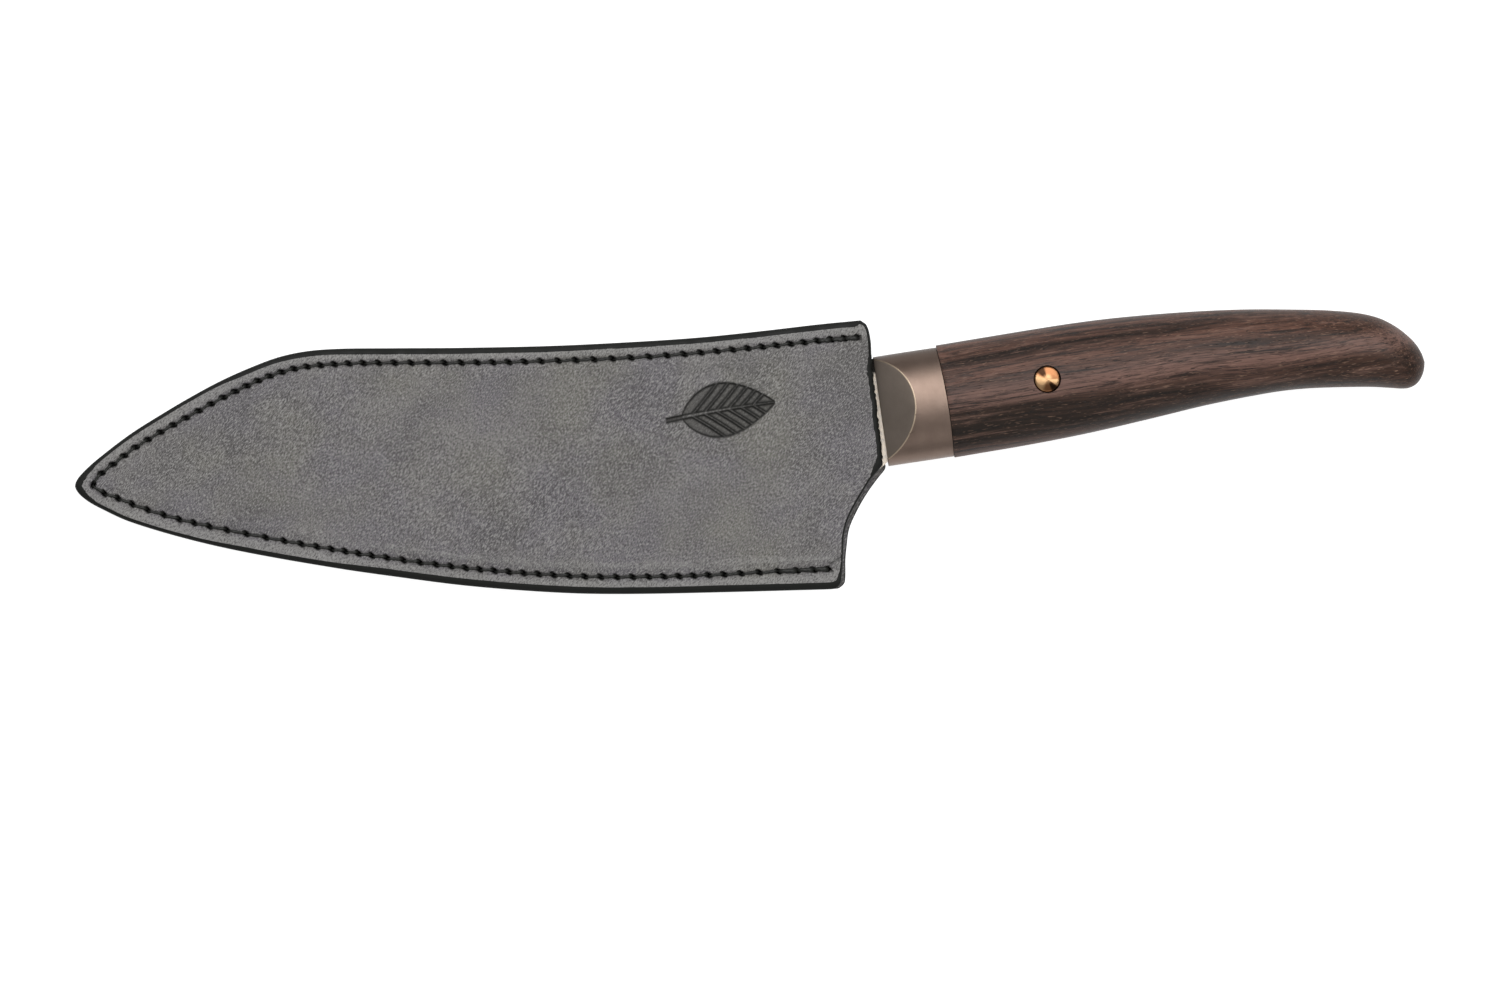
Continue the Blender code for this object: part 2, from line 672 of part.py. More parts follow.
def handle_parts(parent):
    """Wood, the resin bed in its mortise, and the pin through both and the tang."""
    cuts = [JOINT_AT + 0.05, 20, 26, 33, 41, 49, 57, 65, 73, 81, 88, 95, 101, 107, 112, 116, 119.5]
    cuts += [122.5, 125, 127, 128.6, 129.9, 131, 131.9, 132.6, 133.1, 133.4]
    stations = []
    for u in cuts:
        stations.append((u, at(WOOD_BOTTOM, u), at(WOOD_TOP, u), at(WOOD_HALF, u), u == cuts[0]))
    wood = body("handle", loft(stations, 40), parent, ROSEWOOD, smooth=True)
    mortise = tang_block(1.1, 2.3, 10.0, TANG_LONG + 2.0)
    cut(wood, body("mortise_cutter", mortise, parent))
    hole = body("pin_hole_cutter", pin_shape(PIN_RADIUS + PIN_ROOM, 30.0, 0.0), parent)
    cut(wood, hole)

    bed = body("tang_epoxy", tang_block(1.0, 2.2, 17.2, TANG_LONG + 1.9), parent, RESIN)
    room = tang_block(BED_ROOM, BLADE_THICK / 2 + BED_ROOM, 10.0, TANG_LONG + 0.3)
    cut(bed, body("tang_room_cutter", room, parent))
    cut(bed, hole)

    body("handle_pin", pin_shape(PIN_RADIUS, PIN_SHOULDER, PIN_DOME), parent, COPPER, smooth=True)


clear_scene()
laid_down = empty("laid_down", location=SHIFT, rotation=(0.0, -PITCH, 0.0))
draw_line = empty("draw_line", laid_down)
handle_line = empty("handle_line", draw_line, rotation=(0.0, 0.0, HANDLE_TURN))
blade(draw_line)
collar(draw_line, handle_line)
handle_parts(handle_line)
panel("sheath_front_panel", MOUTH_FRONT, 1, laid_down)
panel("sheath_back_panel", MOUTH_BACK, -1, laid_down)
welts(laid_down)
thread(laid_down)
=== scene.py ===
"""The looks of the sheathed chef's knife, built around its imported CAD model.

Pieces are drawn in millimetres in the blade's own plane, as in the CAD: X along the straight blade back,
Y towards the blade back, Z out of the front panel. LAY_DOWN takes such a drawing to the shared frame.
Collar, handle and pin are drawn along the handle instead, and ALONG_HANDLE takes them there.
"""

import math

import bmesh
import bpy
import numpy as np
from mathutils import Matrix, Vector
from mathutils.geometry import delaunay_2d_cdt


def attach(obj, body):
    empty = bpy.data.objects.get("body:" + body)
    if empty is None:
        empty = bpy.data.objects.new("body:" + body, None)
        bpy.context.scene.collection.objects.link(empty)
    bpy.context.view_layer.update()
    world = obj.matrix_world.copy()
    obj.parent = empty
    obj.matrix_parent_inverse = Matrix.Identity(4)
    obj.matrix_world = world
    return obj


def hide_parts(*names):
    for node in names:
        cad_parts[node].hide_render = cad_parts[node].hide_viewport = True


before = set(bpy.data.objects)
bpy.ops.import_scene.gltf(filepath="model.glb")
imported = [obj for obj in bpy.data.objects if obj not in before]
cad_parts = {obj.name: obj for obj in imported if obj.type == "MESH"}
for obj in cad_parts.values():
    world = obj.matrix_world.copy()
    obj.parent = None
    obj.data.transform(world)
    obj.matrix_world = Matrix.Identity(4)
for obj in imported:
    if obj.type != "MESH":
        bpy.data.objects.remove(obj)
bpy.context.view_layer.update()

# ---------------------------------------------------------------- sizes shared with the CAD
MM = 0.001
PITCH = math.radians(1.55)
SHIFT = (32.36, 10.3, 9.11)
HANDLE_TURN = math.radians(6.2)

WELT_HALF = 1.5
GLUE = 0.08
PANEL = 2.2
INNER = WELT_HALF + GLUE
OUTER = INNER + PANEL

OUTLINE = [
    (-4.4, 22.5), (-14.2, 21.9), (-29.0, 20.7), (-43.7, 19.7), (-58.4, 19.2), (-80.0, 18.9),
    (-102.6, 19.2), (-120.0, 19.7), (-132.0, 20.0), (-140.0, 19.7), (-147.0, 18.5), (-154.0, 16.2),
    (-161.6, 13.1), (-169.1, 9.4), (-176.6, 5.3), (-184.1, 0.9), (-191.6, -4.4), (-195.5, -7.6),
    (-197.5, -9.8), (-198.1, -11.4), (-197.4, -13.0), (-195.3, -15.0), (-192.1, -17.0),
    (-184.9, -20.6), (-170.3, -25.5), (-155.7, -29.3), (-133.8, -33.9), (-119.2, -36.5),
    (-104.6, -38.9), (-89.9, -40.7), (-75.3, -42.0), (-60.6, -42.6), (-40.0, -42.9), (-14.4, -43.1),
]
MOUTH_BACK = [
    (-12.0, -43.0), (-10.6, -41.8), (-10.25, -40.0), (-10.1, -36.0), (-9.7, -32.8), (-8.9, -28.4),
    (-6.8, -24.0), (-4.1, -19.7), (-1.3, -16.1), (0.1, -14.5), (0.55, -13.6), (0.3, -12.3),
    (-0.4, -6.6), (-1.3, 4.3), (-2.0, 14.0), (-2.0, 17.0), (-2.4, 19.9), (-3.0, 21.6),
]
MOUTH_FRONT = [
    (-12.7, -43.0), (-11.5, -41.8), (-11.1, -39.6), (-10.6, -34.4), (-10.1, -29.5), (-8.8, -25.6),
    (-6.1, -20.9), (-3.1, -16.4), (-0.9, -13.9), (-0.1, -12.6), (-0.45, -6.6), (-1.3, 4.3),
    (-2.0, 14.0), (-2.05, 17.0), (-2.45, 19.9), (-3.05, 21.5),
]
SEAM = [
    (-5.3, 18.3), (-12.6, 18.0), (-19.0, 17.5), (-33.5, 16.5), (-50.2, 15.6), (-65.0, 15.2),
    (-95.0, 15.3), (-126.0, 16.2), (-136.7, 16.1), (-144.1, 15.3), (-151.1, 13.3), (-160.0, 9.5),
    (-171.0, 4.0), (-182.2, -2.0), (-188.3, -6.2), (-191.8, -8.8), (-193.6, -11.2),
    (-192.0, -12.9), (-188.0, -14.6), (-180.8, -17.7), (-169.7, -21.3), (-150.0, -26.0),
    (-125.0, -31.1), (-100.0, -35.2), (-75.0, -37.8), (-58.0, -38.5), (-44.3, -38.6),
    (-27.6, -38.3), (-14.4, -38.2),
]
SEAM_CORNER = (-193.6, -11.2)
BLADE_BACK = [
    (-25.0, 13.0), (-60.0, 13.0), (-95.0, 12.9), (-118.0, 12.2), (-138.0, 9.9), (-155.0, 5.8),
    (-168.0, 0.8), (-178.0, -4.4), (-187.0, -11.2),
]
BLADE_EDGE = [
    (-183.5, -13.6), (-177.0, -15.9), (-165.0, -18.9), (-150.0, -22.1), (-134.0, -25.3),
    (-119.0, -28.0), (-104.0, -30.4), (-90.0, -32.2), (-75.0, -33.6), (-60.0, -34.4),
    (-45.0, -34.8), (-30.0, -35.0), (-12.6, -35.1),
]
CHOIL = [(-11.8, -34.6), (-11.2, -31.0), (-10.0, -26.3), (-7.4, -21.4), (-4.2, -16.8), (-1.7, -14.3)]
COLLAR_TOP = [(-0.2, 13.5), (7.0, 13.62), (15.5, 13.66)]
COLLAR_BOTTOM = [(-0.2, -13.52), (8.0, -13.47), (16.2, -13.4)]
WOOD_TOP = [
    (15.4, 14.16), (24.0, 14.34), (39.0, 14.65), (50.0, 14.76), (61.0, 14.52), (76.0, 13.63),
    (90.6, 12.23), (105.1, 10.12), (112.4, 8.84), (119.6, 7.08), (124.2, 5.17), (127.8, 2.59),
    (130.4, -0.1), (132.1, -2.5), (133.1, -4.9), (133.5, -7.0),
]
WOOD_BOTTOM = [
    (15.4, -13.72), (20.0, -13.6), (35.0, -13.22), (50.0, -12.44), (65.0, -11.16), (80.0, -9.75),
    (95.0, -9.04), (102.4, -9.18), (109.7, -9.85), (119.4, -11.11), (124.2, -12.04),
    (127.1, -12.65), (128.9, -12.7), (130.7, -12.05), (132.0, -10.8), (133.0, -9.0), (133.5, -7.0),
]
WOOD_HALF = [
    (15.4, 9.2), (30.0, 9.9), (50.0, 10.3), (70.0, 9.7), (90.0, 8.9), (105.0, 8.7), (118.0, 8.6),
    (125.0, 7.9), (130.0, 5.9), (132.4, 3.7), (133.3, 1.7), (133.5, 0.0),
]
# Stitch length at some distances along the seam
STITCHES = [
    (0.0, 3.3), (18.0, 3.5), (58.0, 4.6), (88.0, 3.9), (106.0, 4.2), (125.0, 3.6), (149.0, 3.1),
    (165.0, 3.6), (198.0, 3.6), (210.0, 4.2), (221.0, 3.8), (233.0, 5.0), (262.0, 3.3), (273.0, 4.2),
    (290.0, 3.6), (328.0, 4.0), (348.0, 3.7), (366.0, 4.8), (379.0, 3.6),
]
COLLAR_FACE = -0.2
COLLAR_HALF = 8.8
FACET_START = 3.4
FACET_SLOPE = 0.638
JOINT_AT = 15.4
JOINT_LEAN = 0.023
JOINT_DOME = 0.55
PIN_AT = (41.1, 2.0)
PIN_RADIUS = 3.2
PIN_SHOULDER = 9.5
PIN_DOME = 0.7
BLADE_THICK = 2.5
TANG_LONG = 78.0
TANG_ROOM = 0.12

# ---------------------------------------------------------------- sizes of the fine work
LOOP_STEP = 0.5  # between points of a panel's outline
FINE_STEP = 0.21  # between points under the stamp and the fold
EDGE_RINGS = (0.07, 0.2, 0.42, 0.7, 1.05, 1.45, 1.95)  # depths of the rings of points inside the outline
SEAM_ROWS = (-2.3, -1.75, -1.3, -0.98, -0.74, -0.55, -0.37, -0.18, 0.0)  # and of rows beside the seam
FACE_SINK = 0.26  # the leather's face lies this far below its full thickness, so the quilting fits in
EDGE_DROP = 0.95  # how far the rounded edge falls
GROOVE_WIDE = 0.44  # half width of the line that the stitches press into the leather
GROOVE_DEEP = 0.42
SLIT_LONG = 1.0  # half length of an awl slit
SLIT_WIDE = 0.62  # half width
SLIT_DEEP = 1.25
SLIT_TURN = math.radians(-36)
PUCKER = 0.18
FOLD = [(-14.6, -37.6), (-12.8, -36.2), (-11.4, -35.3)]  # a crease from the last stitch to the mouth
FOLD_DEEP = 0.14
STAMP_AT = (-39.4, 1.4)
STAMP_HALF = (13.6, 6.6)
STAMP_DEEP = 0.34
STAMP_TILT = 0.12
LEAF_STEM = 4.0  # length of the leaf's stem
NOT_PRESSED = 9.0  # a gap far outside the stamp
WELT_STEP = 0.8
WELT_BORDERS = (  # height of each border line of a welt, and how far it is tucked in
    (-WELT_HALF, 0.12),
    (-WELT_HALF + 0.2, 0.0),
    (0.0, 0.03),
    (WELT_HALF - 0.2, 0.0),
    (WELT_HALF, 0.12),
)
BLADE_ROOM = 0.45  # between the blade and a welt
THREAD_RADIUS = 0.28
THREAD_SIDES = 10
THREAD_RINGS = 17
DOUBLED = 3  # stitches sewn twice at each end of the seam
HOLE_REACH = 0.42  # how far a stitch starts from the middle of its slit

# ---------------------------------------------------------------- sizes of the knife's fine work
BLADE_TIP = -186.9
BLADE_COLUMNS = 200
HEEL_HEIGHT = -35.1
BACK_HEIGHT = 13.0
EDGE_THICK = 0.36  # where the cutting bevel starts
BEVEL_AT = 0.985  # share of the blade's height
HIDDEN_END = 6.0  # the lines of edge and back run on this far, inside the collar
TANG_THICK = BLADE_THICK - 0.1
TANG_HALF = 7.4  # half the tang's height at its root
TANG_TAPER = 3.0  # how much of that is lost at its end
MORTISE_ROOM = 1.1  # between tang and wood, above and below
MORTISE_HALF = 2.3  # half the mortise's thickness
BORE_RADIUS = PIN_RADIUS + 0.16
SHANK_RADIUS = PIN_RADIUS + 0.15
BREAK_EDGE = 0.12  # how much of the collar's front corner is taken off
FACET_RIM = 0.17  # width of the painted highlight round a facet, a bevel in bright bronze

# ---------------------------------------------------------------- sizes of the view
VIEW_AT = (-32.98, -20.54, 1.5)
VIEW_WIDE = 367.5
VIEW_FROM = 3000.0
VIEW_TURN = math.radians(-2)
TABLE_HALF = 3.0  # metres
TABLE_GAP = 0.0006  # metres below the object, so that the two faces don't meet

LAY_DOWN = Matrix.Translation(Vector(SHIFT) * MM) @ Matrix.Rotation(-PITCH, 4, "Y")
ALONG_HANDLE = LAY_DOWN @ Matrix.Rotation(HANDLE_TURN, 4, "Z")

rng = np.random.default_rng(7)


# ---------------------------------------------------------------- lines


def curve(points, step=0.6):
    """A smooth line through the points, as an array of closely spaced points."""
    pts = np.array(points, float)
    last = len(pts) - 1
    line = []
    for i in range(last):
        p1, p2 = pts[i], pts[i + 1]
        span = np.linalg.norm(p2 - p1)
        straight = (p2 - p1) / span
        turn1 = straight
        turn2 = straight
        if i > 0:
            turn1 = (p2 - pts[i - 1]) / (np.linalg.norm(p1 - pts[i - 1]) + span)
        if i + 2 <= last:
            turn2 = (pts[i + 2] - p1) / (span + np.linalg.norm(pts[i + 2] - p2))
        t = np.linspace(0, 1, max(2, int(span / step)) + 1)[:-1, None]
        line.append(
            (2 * t**3 - 3 * t**2 + 1) * p1
            + (t**3 - 2 * t**2 + t) * span * turn1
            + (3 * t**2 - 2 * t**3) * p2
            + (t**3 - t**2) * span * turn2
        )
    return np.vstack(line + [pts[-1:]])


def lengths(line):
    """Distance along the line at each of its points."""
    return np.concatenate([[0.0], np.cumsum(np.linalg.norm(np.diff(line, axis=0), axis=1))])


def read(pairs, run, s):
    """Pairs of numbers that belong to the distances run along a line, read at the distances s."""
    return np.column_stack([np.interp(s, run, pairs[:, 0]), np.interp(s, run, pairs[:, 1])])


def even(line, step, closed=False):
    """The same line with evenly spaced points."""
    if closed:
        line = np.vstack([line, line[:1]])
    run = lengths(line)
    s = np.linspace(0, run[-1], max(2, round(run[-1] / step)) + 1)
    return read(line, run, s[:-1] if closed else s)


def ways(line, closed=False):
    """Unit direction at each point of a line."""
    if closed:
        step = np.roll(line, -1, axis=0) - np.roll(line, 1, axis=0)
    else:
        step = np.gradient(line, axis=0)
    return step / np.linalg.norm(step, axis=1)[:, None]


def left_of(way):
    """Unit normal on the left of a direction."""
    return np.column_stack([-way[:, 1], way[:, 0]])


def along(points, line, closed=False):
    """Distance from each point to a line, on which side (left is +1), and how far along the line."""
    if closed:
        line = np.vstack([line, line[:1]])
    a, b = line[:-1], line[1:]
    ab = b - a
    size = (ab**2).sum(1)
    run = lengths(line)
    far = np.empty(len(points))
    side = np.empty(len(points))
    where = np.empty(len(points))
    for k in range(0, len(points), 2000):
        p = points[k : k + 2000, None, :]
        t = np.clip(((p - a) * ab).sum(2) / size, 0, 1)
        gap = p - (a + t[:, :, None] * ab)
        d = (gap**2).sum(2)
        i = d.argmin(1)
        row = np.arange(len(i))
        far[k : k + 2000] = np.sqrt(d[row, i])
        g = gap[row, i]
        side[k : k + 2000] = np.sign(ab[i, 0] * g[:, 1] - ab[i, 1] * g[:, 0])
        where[k : k + 2000] = run[i] + t[row, i] * np.sqrt(size[i])
    return far, side, where


def inside(points, loop):
    """Which points lie inside a closed loop."""
    x, y = points[:, 0], points[:, 1]
    hit = np.zeros(len(points), bool)
    for (ax, ay), (bx, by) in zip(loop, np.roll(loop, -1, axis=0)):
        if ay == by:
            continue
        crosses = (ay > y) != (by > y)
        hit ^= crosses & (x < (bx - ax) * (y - ay) / (by - ay) + ax)
    return hit


def at(pairs, x):
    """Smooth reading of a table of (x, value) pairs."""
    xs = [p[0] for p in pairs]
    fine = curve(pairs, 0.5)
    return np.interp(np.clip(x, xs[0], xs[-1]), fine[:, 0], fine[:, 1])


def ease(x, low, high):
    """Smooth step from 0 at low to 1 at high."""
    t = np.clip((x - low) / (high - low), 0, 1)
    return t * t * (3 - 2 * t)


def bell(x, width):
    """1 at 0, fading to almost nothing at twice the width on both sides."""
    return np.exp(-((x / width) ** 2))


# ---------------------------------------------------------------- meshes


def ring_of(centre, radius, sides):
    """Points round a circle."""
    turn = np.linspace(0, 2 * math.pi, sides, endpoint=False)
    return np.column_stack([np.cos(turn), np.sin(turn)]) * radius + centre


def tube(rings, sides, first=0, flip=False):
    """Quads between closed rings of points, from the point first on; flip turns them over."""
    quads = []
    for low in range(first, first + (rings - 1) * sides, sides):
        for k in range(sides):
            j = (k + 1) % sides
            a, b, c, d = low + k, low + j, low + sides + j, low + sides + k
            quads.append((a, d, c, b) if flip else (a, b, c, d))
    return quads


def put_in_scene(name, data):
    """A new object in the scene."""
    thing = bpy.data.objects.new(name, data)
    bpy.context.scene.collection.objects.link(thing)
    return thing


def piece(name, verts, faces, look, body, stands_for, where=LAY_DOWN, values=None, sharp=40):
    """A mesh piece drawn in millimetres, laid where it belongs, given its look and tied to its body."""
    mesh = bpy.data.meshes.new(name)
    mesh.from_pydata([where @ Vector(v) for v in np.asarray(verts, float) * MM], [], faces)
    mesh.validate()
    mesh.shade_smooth()
    mesh.set_sharp_from_angle(angle=math.radians(sharp))
    for key, numbers in (values or {}).items():
        layer = mesh.attributes.new(key, "FLOAT", "POINT")
        layer.data.foreach_set("value", np.asarray(numbers, np.float32))
    mesh.materials.append(look)
    thing = put_in_scene(name, mesh)
    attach(thing, body)
    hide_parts(*stands_for)
    return thing


def block(loop, half, where=ALONG_HANDLE):
    """A straight-sided solid over a loop, from -half to half, as a loose object to cut or join with."""
    n = len(loop)
    ends = [np.column_stack([loop, np.full(n, z)]) for z in (-half, half)]
    caps = [tuple(range(n))[::-1], tuple(range(n, 2 * n))]
    mesh = bpy.data.meshes.new("block")
    mesh.from_pydata([where @ Vector(v) for v in np.vstack(ends) * MM], [], tube(2, n) + caps)
    return put_in_scene("block", mesh)


def combine(thing, other, operation, sharp):
    """Take another solid out of a piece (DIFFERENCE) or join it on (UNION), for good."""
    step = thing.modifiers.new("combine", "BOOLEAN")
    step.operation = operation
    step.solver = "EXACT"
    step.object = other
    bpy.context.view_layer.update()
    made = bpy.data.meshes.new_from_object(thing.evaluated_get(bpy.context.evaluated_depsgraph_get()))
    thing.modifiers.clear()
    thing.data = made
    thing.data.set_sharp_from_angle(angle=math.radians(sharp))
    bpy.data.objects.remove(other, do_unlink=True)


def fill(points, loop_size):
    """Triangles over scattered points inside a loop made of the first loop_size of them."""
    border = [list(range(loop_size))]
    found = delaunay_2d_cdt([Vector(p) for p in points], [], border, 1, 1e-7)
    origin = [group[0] if group else -1 for group in found[3]]
    if min(origin) < 0:
        raise ValueError("the outline crosses itself")
    return [tuple(origin[i] for i in face) for face in found[2]]


# ---------------------------------------------------------------- materials


class Look:
    """A material's node tree, with short calls for the nodes used here."""

    def __init__(self, name, where=LAY_DOWN):
        self.material = bpy.data.materials.new(name)
        self.material.use_nodes = True
        self.tree = self.material.node_tree
        self.shader = self.tree.nodes["Principled BSDF"]
        placed = self.node("TexCoord").outputs["Object"]
        back = where.inverted()
        undo = self.node("Mapping", Vector=placed, Location=back.to_translation(), Rotation=back.to_euler())
        self.object_coords = undo.outputs["Vector"]

    def put(self, socket, value):
        """Link a socket, or set its number or colour."""
        if isinstance(value, bpy.types.NodeSocket):
            self.tree.links.new(value, socket)
        elif isinstance(value, tuple) and len(value) == 3 and socket.type == "RGBA":
            socket.default_value = (*value, 1.0)
        else:
            socket.default_value = value

    def fill_in(self, node, values):
        """Set or link sockets of a node, by name with underscores for spaces."""
        for key, value in values.items():
            self.put(node.inputs[key.replace("_", " ")], value)
        return node

    def set(self, **values):
        """Set or link sockets of the shader."""
        self.fill_in(self.shader, values)

    def node(self, kind, **values):
        """A new shader node with its sockets."""
        return self.fill_in(self.tree.nodes.new("ShaderNode" + kind), values)

    def place(self, size, turn=0.0, stretch=(1.0, 1.0, 1.0), shift=(0.0, 0.0, 0.0)):
        """Object coordinates in units of size millimetres, turned about Z and then stretched."""
        turning = self.node("Mapping", Vector=self.object_coords, Rotation=(0.0, 0.0, turn))
        scale = [1.0 / (MM * size * s) for s in stretch]
        turned_coords = turning.outputs["Vector"]
        return self.node("Mapping", Vector=turned_coords, Location=shift, Scale=scale).outputs["Vector"]

    def noise(self, size, detail=3.0, rough=0.55, twist=0.0, **layout):
        """Smooth noise with features of about size millimetres, 0.5 on average."""
        made = self.node("TexNoise", Vector=self.place(size, **layout), Scale=1.0)
        self.fill_in(made, {"Detail": detail, "Roughness": rough, "Distortion": twist})
        return made.outputs["Fac"]

    def cells(self, size, **layout):
        """Distance to the nearest of points scattered about size millimetres apart, in that unit."""
        return self.node("TexVoronoi", Vector=self.place(size, **layout), Scale=1.0).outputs["Distance"]

    def value(self, name):
        """A number that the mesh holds at each point."""
        made = self.node("Attribute")
        made.attribute_name = name
        return made.outputs["Fac"]

    def split(self):
        """The three object coordinates, each on its own."""
        return self.node("SeparateXYZ", Vector=self.object_coords).outputs

    def math(self, operation, a, b=0.0, c=0.0):
        """One of Blender's Math operations."""
        made = self.node("Math")
        made.operation = operation
        for socket, value in zip(made.inputs, (a, b, c)):
            self.put(socket, value)
        return made.outputs["Value"]

    def times(self, a, b):
        """The product of two numbers."""
        return self.math("MULTIPLY", a, b)

    def spread(self, fac, low, high, to_low=0.0, to_high=1.0):
        """Map low..high of a number to to_low..to_high, smoothly and clamped."""
        made = self.node(
            "MapRange", Value=fac, From_Min=low, From_Max=high, To_Min=to_low, To_Max=to_high
        )
        made.interpolation_type = "SMOOTHSTEP"
        return made.outputs["Result"]

    def ramp(self, fac, stops):
        """A colour for a number, from (place, colour) stops."""
        made = self.node("ValToRGB", Fac=fac)
        bar = made.color_ramp
        while len(bar.elements) < len(stops):
            bar.elements.new(0.5)
        for element, (place, colour) in zip(bar.elements, stops):
            element.position = place
            element.color = (*colour, 1.0)
        return made.outputs["Color"]

    def mix(self, fac, a, b):
        """From colour a at 0 to colour b at 1; the node's colour sockets are its seventh and eighth."""
        made = self.node("Mix", Factor=fac)
        made.data_type = "RGBA"
        self.put(made.inputs[6], a)
        self.put(made.inputs[7], b)
        return made.outputs[2]

    def over(self, colour, tints):
        """Tints over a colour; each comes up to its share as its number goes from low to high."""
        for fac, low, high, share, tint in tints:
            colour = self.mix(self.spread(fac, low, high, 0.0, share), colour, tint)
        return colour

    def bump(self, height, distance):
        """Bump where a height of 1 stands for a distance in millimetres."""
        return self.node("Bump", Strength=1.0, Distance=distance * MM, Height=height).outputs["Normal"]


def leather_look():
    """Waxed grey-black leather, mottled, with fine slanted grain and black burnished edges."""
    k = Look("waxed_leather")
    slant = math.radians(-50)
    clouds = k.noise(40, rough=0.5)
    hue = k.noise(21, shift=(3.1, 7.7, 0.0), detail=4)
    patch = k.noise(15, shift=(5.0, 1.0, 0.0), detail=5, twist=0.5)
    blotch = k.noise(3.6, rough=0.5)
    grain = k.noise(0.24, turn=slant, stretch=(2.6, 1.0, 1.0), detail=1.2, rough=0.5)
    pores = k.cells(0.4, turn=slant, stretch=(2.4, 1.0, 1.0))
    edge = k.value("edge")

    # the dyed hide: broad clouds of tone and hue, wear, stains and grain
    tone = k.ramp(clouds, [(0.32, (0.118, 0.112, 0.11)), (0.68, (0.158, 0.151, 0.147))])
    cool = (hue, 0.46, 0.62, 0.8, (0.132, 0.124, 0.137))
    warm = (hue, 0.48, 0.34, 0.8, (0.149, 0.144, 0.128))
    dim = (patch, 0.52, 0.34, 0.5, (0.086, 0.082, 0.083))
    worn = (patch, 0.5, 0.7, 0.35, (0.195, 0.188, 0.18))
    stain = (blotch, 0.5, 0.25, 0.3, (0.08, 0.077, 0.077))
    light = (grain, 0.5, 0.7, 0.78, (0.285, 0.279, 0.27))
    dark = (grain, 0.5, 0.3, 0.78, (0.048, 0.046, 0.045))
    hide = k.over(tone, [cool, warm, dim, worn, stain])
    # the border value lightens the strip outside the seam, and adds a painted highlight along the ridge
    # inside the lower seam
    border = k.mix(k.times(k.value("border"), 0.55), hide, (0.26, 0.256, 0.247))
    pitted = k.over(border, [light, dark])

    # what was done to it: the stamp and black edges, with painted shade in the seam's groove, the crease
    # and the slits
    pressed = k.mix(k.times(k.value("stamp"), 0.7), pitted, (0.052, 0.05, 0.046))
    lined = k.mix(k.value("line"), pressed, (0.006, 0.006, 0.005))
    # painted shade: the seam's groove and the crease are darkened where shade falls in them
    grooved = k.mix(k.times(k.value("groove"), 0.8), lined, (0.02, 0.02, 0.018))
    ragged = k.math("ADD", edge, k.times(k.math("SUBTRACT", blotch, 0.5), 0.3))
    black = k.mix(k.spread(ragged, 0.42, 0.53), grooved, (0.006, 0.0065, 0.0055))
    # painted shade: the slits are near black, standing in for the shade inside them
    deep = k.mix(k.value("hole"), black, (0.0015, 0.0015, 0.0015))
    k.set(Base_Color=deep, Specular_IOR_Level=0.2)
    k.set(Roughness=k.math("ADD", k.spread(blotch, 0.3, 0.7, 0.5, 0.62), k.times(edge, 0.05)))
    calm = k.math("SUBTRACT", 1.0, k.times(edge, 0.8))
    height = k.math("ADD", grain, k.times(pores, -0.35))
    k.set(Normal=k.bump(k.times(height, calm), 0.2))
    return k.material


def thread_look():
    """Black waxed linen thread: fibres along the twist and a dull wax shine."""
    k = Look("waxed_thread")
    fibre = k.noise(0.09, stretch=(2.5, 1.0, 1.0), detail=2)
    k.set(Base_Color=k.ramp(fibre, [(0.3, (0.004, 0.004, 0.0035)), (0.75, (0.024, 0.025, 0.022))]))
    k.set(Roughness=0.45, Specular_IOR_Level=0.3)
    k.set(Normal=k.bump(fibre, 0.03))
    return k.material


